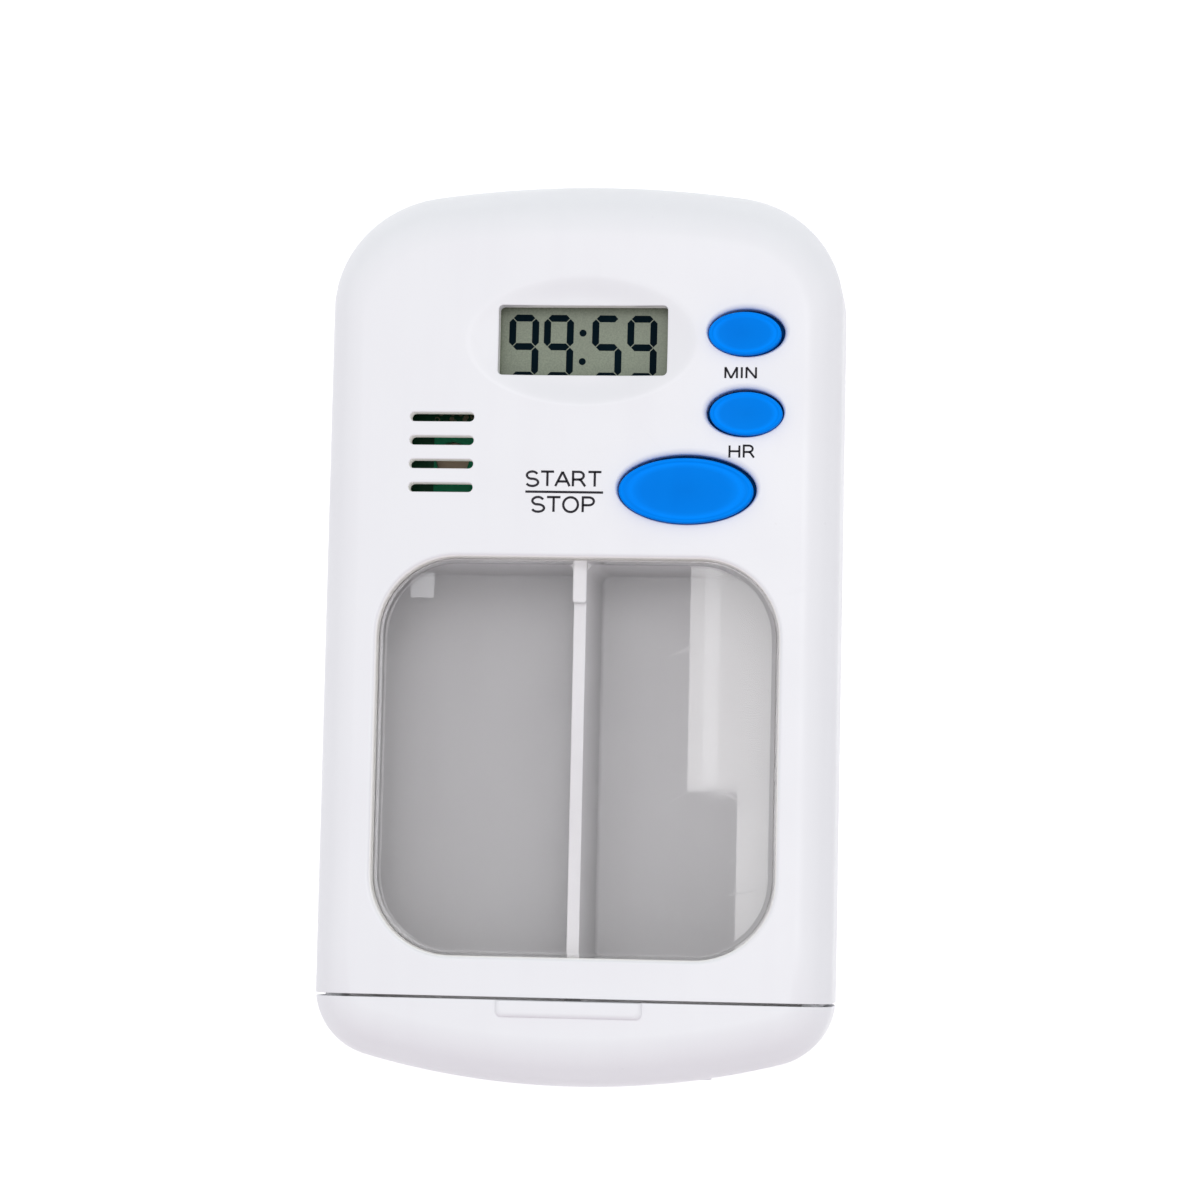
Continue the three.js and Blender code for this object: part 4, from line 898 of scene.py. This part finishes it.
def back_shell():
    """The back half: outer skin, floor with the screws' wells and the door's hole, rounded mouth, rebate,
    inside skin with the lap inside the front half, partition, the cell's pocket and the buzzer's seat."""
    outer = shell_rings(back_levels(0.0), MOUTH + EDGE)
    holes = [at(circle(place, HEAD_HOLE + HOLE_EDGE, 64), 0) for place in CASE_SCREWS]
    holes.append(at(door_hole(DOOR_HOLE_EDGE[0][0]), 0))
    surfaces = [sheet(outer), plate(np.concatenate([outer[0], between(outer[0][-1], outer[0][0])]), holes)]
    surfaces += [screw_well(place) for place in CASE_SCREWS]
    door_wall = [at(door_hole(grow), rise) for grow, rise in DOOR_HOLE_EDGE]
    surfaces.append(tube([*door_wall, at(door_hole(), WALL)]))
    inner_rows = [plain_level(BACK_LAP, PARTING), plain_level(BACK_LAP, LAP_TOP), plain_level(WALL, LAP_TOP),
                  levels(WALL, "inside back", quarter(6))]
    inner = shell_rings(np.concatenate(inner_rows), STEP)
    inner_holes = [at(circle(place, SCREW_POST, 64), WALL) for place in CASE_SCREWS] + [at(door_hole(), WALL)]
    floor = np.concatenate([inner[-1], between(inner[-1][-1], inner[-1][0])])
    surfaces += [sheet(inner), plate(floor, inner_holes)]
    strip = [cross_section(back_levels(drawn)[::-1], MOUTH + short) for drawn, short in round_steps(EDGE, 4)]
    rebate_rows = [plain_level(REBATE_INSET, PARTING), levels(REBATE_INSET, "inside back", quarter(10))]
    rebate = [cross_section(np.concatenate(rebate_rows), y) for y in (MOUTH, STEP)]
    surfaces += [sheet(strip), sheet(rebate), plate(np.concatenate([strip[-1], rebate[0][::-1]])),
                 parting_face(outer[-1], strip, rebate, inner[0])]
    right = inner[:, 0]
    inner_line = np.concatenate([right, between(right[-1], mirrored(right[-1])), mirrored(right[::-1])])
    surfaces.append(plate(np.concatenate([rebate[1], inner_line[::-1]])))
    low, high = (-PARTITION_HALF, PARTITION_FRONT, WALL - SUNK), (PARTITION_HALF, PARTITION_BACK, PARTING)
    surfaces.append(solid_box(low, high))
    reach, shelf, rim = DOOR_REACH + CLEARANCE, DOOR_TOP + CLEARANCE, CELL_TOP + CLEARANCE
    narrow, wide, step = CELL_HOLE + POCKET_WALL, reach + POCKET_WALL, shelf + POCKET_WALL
    pocket = [(reach, WALL), (reach, shelf), (CELL_HOLE, shelf), (CELL_HOLE, rim), (narrow, rim),
              (narrow, step), (wide, step), (wide, WALL), (reach, WALL)]
    surfaces.append(profile_round(pocket, BATTERY, 72))
    near, far = SEAT_RADIUS, SEAT_RADIUS + POCKET_WALL
    seat = [(near, WALL), (near, SEAT_TOP), (far, SEAT_TOP), (far, WALL), (near, WALL)]
    surfaces.append(profile_round(seat, BUZZER))
    make("back_cover", surfaces, WHITE, "case", ["back_shell"])


# Drawer

TRAY_LOW, LUG_TOP = measured("drawer_tray")[:, 2]
TRAY_TOP, TRAY_FLOOR, TRAY_WALL, TRAY_EDGE = 16.4, 3.5, 1.2, 0.22
TRAY_FRONT, TRAY_CORNER, WELL_CORNER = -41.0, 2.2, 1.5
TRAY = (*within("drawer_tray", (0, 0, TRAY_FRONT - measured("drawer_tray")[0][1], 0)), TRAY_CORNER)
TRAY_FOOT = ((1.2, 0.0), (0.7, 0.25), (0.25, 0.7), (0.0, 1.2))
WELL_EDGE, WELL_DRAFT, WELL_FILLET = 0.12, 0.3, 0.45
DIVIDER_HALF = 0.68
LUG = (-0.76, 0.76, 2.9, 7.9, 0.3)
LUG_EDGE = 0.2
PEG_PLACES = ((-12.0, 9.25), (12.0, 9.25))
PEG_TIP = measured("drawer_tray")[0][1]
PEG_RADIUS, PEG_BEVEL = 1.2, 0.3
SOCKET_RADIUS, SOCKET_BORE, SOCKET_ROOT = 2.4, 1.5, -47.4
LEDGE_HALF, LEDGE_DEPTH, LEDGE_CORNER, LEDGE_SHY = 7.7, 1.75, 0.6, 0.02
LEDGE_FOOT, LEDGE_FOOT_RISE, LEDGE_ROOT = 0.2, 0.1, 19.5
LEDGE_EDGE, LEDGE_DROP, LEDGE_LEAN = 0.5, 0.42, 0.08
TONGUE_ROOT, TONGUE_BEVEL = 0.5, 0.1


def cap_levels(inset, kind):
    """All levels of the cap from the back plane up to the face."""
    return np.concatenate([levels(inset, kind, quarter(8)[::-1]), plain_level(inset, PARTING),
                           levels(inset, "front", quarter(14))])


def closed_section(inset, y, kind="back"):
    """A closed cross-section at y: up the right side from the back, across the face, down and back across."""
    right = right_side(cap_levels(inset, kind), y)
    left = mirrored(right[::-1])
    return np.concatenate([right, between(right[-1], left[0], 41), left, between(left[-1], right[0], 41)])


def cap_skin(inset, rim, kind="back"):
    """The cap's skin and its two flats, all drawn in by an inset and ending on the rim's plane."""
    rings = cap_rings(cap_levels(inset, kind), rim)
    flats = [np.concatenate([rings[row], between(rings[row, -1], rings[row, 0], 41)]) for row in (-1, 0)]
    return [sheet(rings), plate(flats[0]), plate(flats[1])]


def ledge_outline(grow, rim):
    """The ledge's outline: square at the rim, with two round corners in front; grow pushes it out."""
    half, front = LEDGE_HALF + grow, CAP_RIM - LEDGE_DEPTH - grow
    a = quarter(8)
    right = np.stack([half - LEDGE_CORNER + LEDGE_CORNER * np.cos(a),
                      front + LEDGE_CORNER - LEDGE_CORNER * np.sin(a)], 1)
    return np.concatenate([[[half, rim]], right, (right * [-1, 1])[::-1], [[-half, rim]]])


def thumb_ledge():
    """A low bar flush with the rim: a hollow foot, a short wall and a rounded top edge."""
    rim = CAP_RIM - LEDGE_SHY
    rings = [at(ledge_outline(LEDGE_FOOT, rim), LEDGE_ROOT)]
    rings += [at(ledge_outline(LEDGE_FOOT * short, rim), FACE - LEDGE_SHY + LEDGE_FOOT_RISE * drawn)
              for drawn, short in round_steps(1, 4)]
    rings += [at(ledge_outline(-LEDGE_EDGE * drawn, rim - LEDGE_LEAN * drawn), LEDGE_TOP - LEDGE_DROP * short)
              for drawn, short in round_steps(1, 8)]
    return block(rings)


def cap_tongue():
    """A guide along the sides and the back: the space between two sections, carried along the case."""
    loops = []
    end = CAP_RIM + TONGUE_LENGTH
    for y, bevel in ((CAP_RIM - TONGUE_ROOT, 0.0), (end - TONGUE_BEVEL, 0.0), (end, TONGUE_BEVEL)):
        outer = side_line(TONGUE_INSET + bevel, y, TONGUE_TOP)
        inner = side_line(WALL, y, TONGUE_TOP)
        loops.append(np.concatenate([outer[::-1], mirrored(outer), mirrored(inner[::-1]), inner]))
    return block(loops)


def drawer_front():
    """The cap: its skin, rounded rim and inside, the thumb ledge, the tongue and the sockets for the tray."""
    strip = [closed_section(short, CAP_RIM - drawn) for drawn, short in round_steps(EDGE, 4)[::-1]]
    strip.append(closed_section(WALL, CAP_RIM, "inside back"))
    surfaces = [*cap_skin(0.0, CAP_RIM - EDGE), tube(strip), *cap_skin(WALL, CAP_RIM, "inside back"),
                *thumb_ledge(), *cap_tongue()]
    front, deep = TRAY_FRONT - CLEARANCE, PEG_TIP - CLEARANCE
    path = [(0, SOCKET_ROOT), (SOCKET_RADIUS, SOCKET_ROOT), (SOCKET_RADIUS, front), (SOCKET_BORE, front),
            (SOCKET_BORE, deep), (0, deep)]
    surfaces += [lying_round(path, place) for place in PEG_PLACES]
    make("drawer_cap", surfaces, WHITE, "drawer", ["drawer_front"])


def compartment(left, right):
    """The rings of a well: a rounded rim, walls with a little draft and a round edge at its floor."""
    box = (left, right, TRAY[2] + TRAY_WALL, TRAY[3] - TRAY_WALL, WELL_CORNER)
    steps = [(short, TRAY_TOP - drawn) for drawn, short in round_steps(WELL_EDGE, 4)]
    steps += [(-WELL_DRAFT - drawn, TRAY_FLOOR + short) for drawn, short in round_steps(WELL_FILLET, 6)]
    return [at(rounded_rectangle(box, grow), height) for grow, height in steps]


def drawer_tray():
    """The tray: a rounded outside, two wells with a divider between them, the stop lug and two pegs."""
    steps = [(draw, TRAY_LOW + rise) for draw, rise in TRAY_FOOT]
    steps += [(drawn, TRAY_TOP - short) for drawn, short in round_steps(TRAY_EDGE, 4)]
    rings = [at(rounded_rectangle(TRAY, -draw), height) for draw, height in steps]
    wells = [compartment(TRAY[0] + TRAY_WALL, -DIVIDER_HALF), compartment(DIVIDER_HALF, TRAY[1] - TRAY_WALL)]
    surfaces = [tube(rings), plate(rings[0]), plate(rings[-1], [well[0] for well in wells])]
    for well in wells:
        surfaces += [tube(well), plate(well[-1])]
    steps = [(0.0, TRAY_TOP - 2 * SUNK)]
    steps += [(drawn, LUG_TOP - short) for drawn, short in round_steps(LUG_EDGE, 4)]
    surfaces += block([at(rounded_rectangle(LUG, -draw, 5), height) for draw, height in steps])
    root, bevel, tip = TRAY_FRONT + SUNK, PEG_TIP + PEG_BEVEL, PEG_TIP
    path = [(0, root), (PEG_RADIUS, root), (PEG_RADIUS, bevel), (PEG_RADIUS - PEG_BEVEL, tip), (0, tip)]
    surfaces += [lying_round(path, place, 28) for place in PEG_PLACES]
    make("tray", surfaces, TRAY_WHITE, "drawer", ["drawer_tray"])


# Window and buttons

PANE_GAP, PANE_EDGE = 0.3, 0.5
FLANGE_THICK = 0.8
FLANGE_LOW, FLANGE_HIGH = TONGUE_TOP - FLANGE_THICK, TONGUE_TOP
CAP_GAP, CAP_EDGE, BEAD, BEAD_HEIGHT = 0.25, 0.27, 0.3, 0.045
TOP_SAG, STEM = 0.08, 1.7
# Painted shading across a button top by share: darker middle, painted highlight along the bead
BEAD_PAINTED_SHADING = ([0, 0.7, 0.84, 0.9, 0.95, 1], [-0.12, 0.0, 0.4, 0.08, 0.28, 0.0])
# Below this band under the crown the wall is painted dark, a painted shade
TOP_BAND = 0.3


def window():
    """A clear plug with a rounded face edge, over a flange behind the face."""
    steps = [(PANE_FLANGE, PANE_LOW), (PANE_FLANGE, INNER_FACE), (-PANE_GAP, INNER_FACE)]
    steps += [(-PANE_GAP - drawn, PANE_TOP - short) for drawn, short in round_steps(PANE_EDGE, 6)]
    rings = [at(rounded_rectangle(WINDOW, grow, 16), height) for grow, height in steps]
    make("window_pane", block(rings), CLEAR, "case", ["window_lens"])


def button(name):
    """A press button: a flange, an upright oval wall, a rounded edge, a fine bead and a shallow dished top.

    Each ring is the hole's oval drawn in by an amount. Across the bead the height falls by h (1 - cos a), and
    inside it, at a share s of the way out, by d (1 - s^2). The cap rests a little off its hole's middle."""
    x, y, half_x, half_y = np.add(BUTTONS[name], (*REST_OFFSETS[name], 0, 0))
    (_, _, foot), (_, _, crown) = measured(f"{name}_button")
    ring = lambda draw, z: at(oval((x, y, half_x, half_y), -draw), z)
    rings = [ring(-FLANGE_LAP, FLANGE_LOW), ring(-FLANGE_LAP, FLANGE_HIGH), ring(CAP_GAP, FLANGE_HIGH)]
    rings += [ring(CAP_GAP + drawn, crown - short) for drawn, short in round_steps(CAP_EDGE, 6)]
    inside = CAP_GAP + CAP_EDGE
    rings += [ring(inside + BEAD * a / math.pi, crown - BEAD_HEIGHT * (1 - math.cos(a)))
              for a in np.linspace(0, math.pi, 9)[1:]]
    inside += BEAD
    for share in np.cos(quarter(10))[1:]:
        scaled_oval = oval((x, y, (half_x - inside) * share, (half_y - inside) * share))
        rings.append(at(scaled_oval, crown - 2 * BEAD_HEIGHT - TOP_SAG * (1 - share**2)))
    stem = [(STEM, FLANGE_LOW), (STEM, foot), (0, foot)]
    under = [ring(-FLANGE_LAP, FLANGE_LOW), at(circle((x, y), STEM), FLANGE_LOW)]

    def bead_painted_shading(points):
        """Painted shading: a painted highlight along the bead, a little shade in the middle, and painted
        shade down the wall inside the hole.
        """
        px, py, pz = points.T
        share = np.hypot((px - x) / (half_x - CAP_GAP), (py - y) / (half_y - CAP_GAP))
        return {"painted_shading": np.where(pz > crown - TOP_BAND, np.interp(share, *BEAD_PAINTED_SHADING), -1.0)}

    surfaces = [tube(rings), tube(under), profile_round(stem, (x, y), 96)]
    make(f"{name}_cap", surfaces, BLUE, f"{name}_key", [f"{name}_button"], painted_light_maps=bead_painted_shading)


# Battery door and screws

DOOR_EDGE, DOOR_FLOOR, TAB_THICK, TAB_SUNK = 0.3, 1.3, 0.8, 0.2
COIN_HALF_WIDTH, COIN_HALF_LENGTH, COIN_CORNER, COIN_EDGE, COIN_DEPTH = 0.8, 5.0, 0.3, 0.15, 0.7
HEAD_FLAT, HEAD_ROUND = 1.33, 0.75
CROSS_CORE, CROSS_ARM = 0.34, 0.98
# The cross recess: how much of the arms is left, and how deep
RECESS = ((1.0, 0.0), (0.8, 0.4), (0.35, 0.75), (0.0, 0.9))
TAPER = 1.0


def door_tab(side):
    """One of the door's two tabs: a part of a ring, a little sunk into the door's rim."""
    spread = math.asin(DOOR_TAB / DOOR_REACH)
    a = side + np.linspace(-spread, spread, 17)
    arc = np.stack([np.cos(a), np.sin(a)], 1)
    loop = np.concatenate([BATTERY + DOOR_REACH * arc, (BATTERY + (DOOR_RADIUS - TAB_SUNK) * arc)[::-1]])
    return block([at(loop, DOOR_TOP - TAB_THICK), at(loop, DOOR_TOP)])


def battery_door():
    """The door on the back: a rounded disc, hollow inside, with a coin slot and two tabs."""
    x, y = BATTERY
    box = (x - COIN_HALF_WIDTH, x + COIN_HALF_WIDTH, y - COIN_HALF_LENGTH, y + COIN_HALF_LENGTH, COIN_CORNER)
    path = [(DOOR_RADIUS - drawn, short) for drawn, short in round_steps(DOOR_EDGE, 5)[::-1]]
    path += [(DOOR_RADIUS, DOOR_TOP), (CELL_HOLE, DOOR_TOP), (CELL_HOLE, DOOR_FLOOR), (0, DOOR_FLOOR)]
    groove = [at(rounded_rectangle(box, short), drawn) for drawn, short in round_steps(COIN_EDGE, 4)]
    groove.append(at(rounded_rectangle(box), COIN_DEPTH))
    outside = plate(at(circle(BATTERY, path[0][0]), 0), [groove[0]])
    surfaces = [profile_round(path, BATTERY, 96), outside, tube(groove), plate(groove[-1]), *door_tab(0.0),
                *door_tab(math.pi)]
    make("cell_door", surfaces, WHITE, "door", ["battery_door"])


def cross_head_screw(number, place):
    """A pan head with a rounded rim and a four-armed recess whose arms follow |cos 2a| raised to a power."""
    a = np.linspace(0, 2 * math.pi, 96, endpoint=False)
    arm = CROSS_CORE + CROSS_ARM * np.abs(np.cos(2 * a)) ** 9
    arms = np.stack([arm * np.cos(a), arm * np.sin(a)], 1)
    recess = [at(place + share * arms, SCREW_LOW + depth) for share, depth in RECESS]
    path = [(SCREW_HEAD - (SCREW_HEAD - HEAD_FLAT) * short, SCREW_LOW + HEAD_ROUND * drawn)
            for drawn, short in round_steps(1, 6)]
    path += [(SCREW_HEAD, HEAD_TOP), (SHANK, HEAD_TOP), (SHANK, SCREW_TIP - TAPER), (0, SCREW_TIP)]
    flat = plate(at(circle(place, HEAD_FLAT), SCREW_LOW), [recess[0]])
    surfaces = [profile_round(path, place, 96), flat, tube(recess)]
    stood_for = f"case_screw_{number}"
    make(f"{stood_for}_detailed", surfaces, FINISHES["steel"], "case", [stood_for])


# Display and labels

INK_SUNK, INK_RAISED = 0.005, 0.015
DIGIT_WIDTH, DIGIT_HEIGHT, DIGIT_TOP = 3.21, 6.92, 34.0
BAR, BAR_GAP = 0.74, 0.07
DIGITS = ((-8.29, "9"), (-4.54, "9"), (0.67, "5"), (4.45, "9"))
LIT_BARS = {"9": "abcdfg", "5": "acdfg"}
# Each bar's two ends in a grid of one step across and two steps up
BAR_ENDS = {"a": ((0, 2), (1, 2)), "g": ((0, 1), (1, 1)), "d": ((0, 0), (1, 0)), "f": ((0, 1), (0, 2)),
            "b": ((1, 1), (1, 2)), "c": ((1, 0), (1, 1))}
COLON_X, COLON_YS, COLON_RADIUS = -0.33, (32.06, 28.98), 0.38
DISPLAY_TURN, DISPLAY_MOVE, DISPLAY_PIVOT = -0.0055, (-0.02, -0.03), (-6.7, DISPLAY_Y)


def digit_bar(left, ends):
    """A lit bar between two places in a grid of 1 by 2: a long hexagon with gaps past its pointed ends."""
    size = np.array([DIGIT_WIDTH - BAR, (DIGIT_HEIGHT - BAR) / 2])
    low = np.array([left + BAR / 2, DIGIT_TOP + BAR / 2 - DIGIT_HEIGHT])
    start, end = low + size * ends[0], low + size * ends[1]
    along = (end - start) / np.linalg.norm(end - start)
    start, end = start + along * BAR_GAP, end - along * BAR_GAP
    side = np.array([-along[1], along[0]]) * BAR / 2
    tip = along * BAR / 2
    return np.array([start, start + tip + side, end - tip + side, end, end - tip - side, start + tip - side])


def set_askew(outline):
    """The display sits a third of a degree off square in its holder."""
    cos, sin = math.cos(DISPLAY_TURN), math.sin(DISPLAY_TURN)
    return (outline - DISPLAY_PIVOT) @ np.array([[cos, sin], [-sin, cos]]) + DISPLAY_PIVOT + DISPLAY_MOVE


def display_digits():
    """The lit bars as thin plates on the film, and the colon's two round dots."""
    outlines = [digit_bar(left, BAR_ENDS[bar]) for left, digit in DIGITS for bar in LIT_BARS[digit]]
    outlines += [circle((COLON_X, y), COLON_RADIUS, 24) for y in COLON_YS]
    surfaces = []
    for outline in map(set_askew, outlines):
        surfaces += block([at(outline, DISPLAY_TOP - INK_SUNK), at(outline, DISPLAY_TOP + INK_RAISED)])
    make("display_digits", surfaces, LIQUID, "case", crisp=False)


def bow(x, y, half_x, half_y, start, stop, steps=14):
    """Points along an oval arc between two angles in degrees."""
    a = np.radians(np.linspace(start, stop, steps + 1))
    return np.stack([x + half_x * np.cos(a), y + half_y * np.sin(a)], 1)


STEM_LEFT, STEM_RIGHT = [(0.11, 0), (0.11, 1)], [(0.61, 0), (0.61, 1)]
BOWL = [[(0.11, 0), (0.11, 1), (0.36, 1)], bow(0.36, 0.735, 0.2, 0.265, 90, -90),
        [(0.36, 0.47), (0.11, 0.47)]]
S_CURVE = np.concatenate([bow(0.325, 0.745, 0.225, 0.255, 20, 250), bow(0.335, 0.25, 0.25, 0.25, 80, -160)])
LETTERS = {
    "A": (0.667, [[(0.03, 0), (0.333, 1)], [(0.333, 1), (0.637, 0)], [(0.14, 0.33), (0.526, 0.33)]]),
    "H": (0.722, [STEM_LEFT, STEM_RIGHT, [(0.11, 0.52), (0.61, 0.52)]]),
    "I": (0.278, [[(0.14, 0), (0.14, 1)]]),
    "M": (0.833, [STEM_LEFT, [(0.11, 1), (0.415, 0)], [(0.415, 0), (0.72, 1)], [(0.72, 1), (0.72, 0)]]),
    "N": (0.722, [STEM_LEFT, [(0.11, 1), (0.61, 0)], STEM_RIGHT]),
    "O": (0.778, [bow(0.39, 0.5, 0.3, 0.5, 0, 360, 32)]),
    "P": (0.667, BOWL),
    "R": (0.722, [*BOWL, [(0.36, 0.47), (0.44, 0.42), (0.63, 0)]]),
    "S": (0.667, [S_CURVE]),
    "T": (0.611, [[(0.305, 0), (0.305, 1)], [(0.03, 1), (0.58, 1)]]),
}
LARGE_STROKE, SMALL_STROKE = 0.125, 0.108
# Each word's left, right, front and back, and half the width of its strokes
LABELS = {
    "MIN": ((15.13, 18.59, 26.68, 28.07), SMALL_STROKE),
    "HR": ((15.72, 18.53, 18.22, 19.72), SMALL_STROKE),
    "START": ((-5.8, 2.4, 14.98, 16.78), LARGE_STROKE),
    "STOP": ((-5.15, 1.66, 12.24, 14.06), LARGE_STROKE),
}
RULE = np.array([(-5.8, 14.5), (2.5, 14.47)])


def ribbon(path, half):
    """A flat stroke of ink: a rectangular section carried from point to point, mitred, with closed ends."""
    step = np.diff(path, axis=0)
    step /= np.linalg.norm(step, axis=1)[:, None]
    ring = np.allclose(path[0], path[-1])
    before = np.concatenate([step[-1:] if ring else step[:1], step])
    after = np.concatenate([step, step[:1] if ring else step[-1:]])
    along = (before + after) / np.linalg.norm(before + after, axis=1)[:, None]
    side = np.stack([along[:, 1], -along[:, 0]], 1) * half / np.maximum((along * after).sum(1), 0.5)[:, None]
    low, high = FACE - INK_SUNK, FACE + INK_RAISED
    edges = ((path - side, low), (path + side, low), (path + side, high), (path - side, high))
    rings = np.stack([at(line, height) for line, height in edges], 1)
    if not ring:
        ends = [rings[place:place + 1].mean(1, keepdims=True).repeat(4, 1) for place in (0, len(rings) - 1)]
        rings = np.concatenate([ends[0], rings, ends[1]])
    return tube(rings)


def label(words, box, half):
    """Printed capitals as strokes of ink on the face, fitted between two x and two y."""
    left, right, front, back = box
    pen = np.cumsum([0] + [LETTERS[letter][0] for letter in words])
    strokes = [np.array(line, float) + [start, 0]
               for letter, start in zip(words, pen) for line in LETTERS[letter][1]]
    everything = np.concatenate(strokes)
    low, high = everything.min(0), everything.max(0)
    corner = np.array([left, front]) + half
    size = np.array([right - left, back - front]) - 2 * half
    surfaces = [ribbon(corner + (line - low) / (high - low) * size, half) for line in strokes]
    make("label_" + words.lower(), surfaces, INK, "case", crisp=False)


front_shell()
back_shell()
drawer_front()
drawer_tray()
window()
for key in BUTTONS:
    button(key)
battery_door()
for index, spot in enumerate(CASE_SCREWS):
    cross_head_screw(index + 1, spot)
display_digits()
for text, (space, stroke) in LABELS.items():
    label(text, space, stroke)
make("label_rule", [ribbon(RULE, LARGE_STROKE)], INK, "case", crisp=False)


# Floor, lamps and camera

FLOOR_HALF, FLOOR_DROP = 6.0, 0.00002
# Each lamp's place and size in metres, its watts and its colour
LAMPS = {
    "overhead_softbox": ((0.091, 0.219, 1.02), (0.318, 0.402), 1.2, (1.0, 0.99, 0.99)),
    "front_softbox": ((0.1005, -0.051, 1.02), (0.299, 0.138), 0.4, (1.0, 0.99, 0.99)),
    "softbox_rim": ((-0.0588, 0.219, 1.01), (0.0058, 0.402), 0.007, (0.97, 0.97, 1.0)),
    "far_window": ((-0.171, 0.095, 1.02), (0.009, 0.0095), 0.0007, (0.97, 0.97, 1.0)),
}
LOOKED_AT = (2.415, 3.045, FACE)
LEAN, TIP, ROLL = (math.radians(angle) for angle in (5.985, 4.933, 1.236))
CAMERA_DISTANCE = 388.69
SENSOR, CLIP_START = 36.0, 0.01
FOCAL_PIXELS, PHOTO_PIXELS = 3678.58, 1200


def paper_floor():
    """A pale sheet that keeps the shadow; seen directly, by gloss or through glass it is lifted to white."""
    mesh = bpy.data.meshes.new("floor")
    far = FLOOR_HALF
    mesh.from_pydata([(-far, -far, 0), (far, -far, 0), (far, far, 0), (-far, far, 0)], [], [(0, 1, 2, 3)])
    floor = bpy.data.objects.new("floor", mesh)
    floor.location.z = -FLOOR_DROP
    scene.collection.objects.link(floor)
    material, tree, shader, place = blank("paper")
    color = blended(tree, noise(tree, place, 400.0, 4.0), (0.74, 0.74, 0.75, 1), (0.77, 0.77, 0.78, 1))
    feed(tree, shader.inputs, {"Base Color": color, "Roughness": 0.9, "Specular IOR Level": 0.0})
    path = node(tree, "ShaderNodeLightPath").outputs
    seen = summed(tree, path["Is Camera Ray"], path["Is Glossy Ray"], "MAXIMUM")
    seen = summed(tree, seen, path["Is Transmission Ray"], "MAXIMUM")
    lift = node(tree, "ShaderNodeEmission", {"Color": (1, 1, 1, 1), "Strength": scaled(tree, seen, 0.6)})
    both = node(tree, "ShaderNodeAddShader", {0: shader.outputs[0], 1: lift.outputs[0]})
    tree.links.new(both.outputs[0], tree.nodes["Material Output"].inputs["Surface"])
    mesh.materials.append(material)


def soft_lamp(name, place, size, watts, color):
    """A soft rectangular lamp facing straight down."""
    light = bpy.data.lights.new(name, "AREA")
    light.shape = "RECTANGLE"
    light.size, light.size_y = size
    light.energy = watts
    light.color = color
    lamp = bpy.data.objects.new(name, light)
    lamp.location = place
    scene.collection.objects.link(lamp)


def daylight_world():
    """A pale sky, brightest overhead and dimmer towards the cap's side; seen directly it is white."""
    world = bpy.data.worlds.new("studio_air")
    scene.world = world
    world.use_nodes = True
    tree = world.node_tree
    way = node(tree, "ShaderNodeTexCoord").outputs["Generated"]
    parts = node(tree, "ShaderNodeSeparateXYZ", {0: way}).outputs
    sky = blended(tree, ranged(tree, parts["Z"], 0.0, 1.0), (0.68, 0.70, 0.71, 1), (0.98, 1.0, 1.01, 1))
    front = ranged(tree, parts["Y"], 0.1, -0.9)
    tinted = blended(tree, front, (1, 1, 1, 1), (0.66, 0.55, 0.61, 1))
    far = ranged(tree, parts["Y"], 0.35, 0.9)
    tinted = blended(tree, far, tinted, (0.68, 0.70, 0.71, 1))
    ground = tree.nodes["Background"]
    feed(tree, ground.inputs, {"Color": blended(tree, 1.0, sky, tinted, "MULTIPLY"), "Strength": 1.07})
    seen = node(tree, "ShaderNodeBackground", {"Color": (1, 1, 1, 1), "Strength": 1.0}).outputs[0]
    direct = node(tree, "ShaderNodeLightPath").outputs["Is Camera Ray"]
    mix = node(tree, "ShaderNodeMixShader", {0: direct, 1: ground.outputs[0], 2: seen})
    tree.links.new(mix.outputs[0], tree.nodes["World Output"].inputs["Surface"])


def photo_camera():
    """A camera nearly overhead that looks at a point on the face from a little to the right and the front."""
    back = np.array([math.sin(LEAN) * math.cos(TIP), -math.sin(TIP), math.cos(LEAN) * math.cos(TIP)])
    right = np.cross(-back, [0, 1, 0])
    right /= np.linalg.norm(right)
    up = np.cross(right, -back)
    turned_right = right * math.cos(ROLL) + up * math.sin(ROLL)
    turned_up = -right * math.sin(ROLL) + up * math.cos(ROLL)
    data = bpy.data.cameras.new("photo_camera")
    data.sensor_width = SENSOR
    data.lens = SENSOR * FOCAL_PIXELS / PHOTO_PIXELS
    data.clip_start = CLIP_START
    camera = bpy.data.objects.new("photo_camera", data)
    spot = (LOOKED_AT + CAMERA_DISTANCE * back) * MM
    rows = np.column_stack([turned_right, turned_up, back, spot])
    camera.matrix_world = Matrix([*rows.tolist(), [0, 0, 0, 1]])
    scene.collection.objects.link(camera)
    scene.camera = camera


paper_floor()
for name, values in LAMPS.items():
    soft_lamp(name, *values)
daylight_world()
photo_camera()
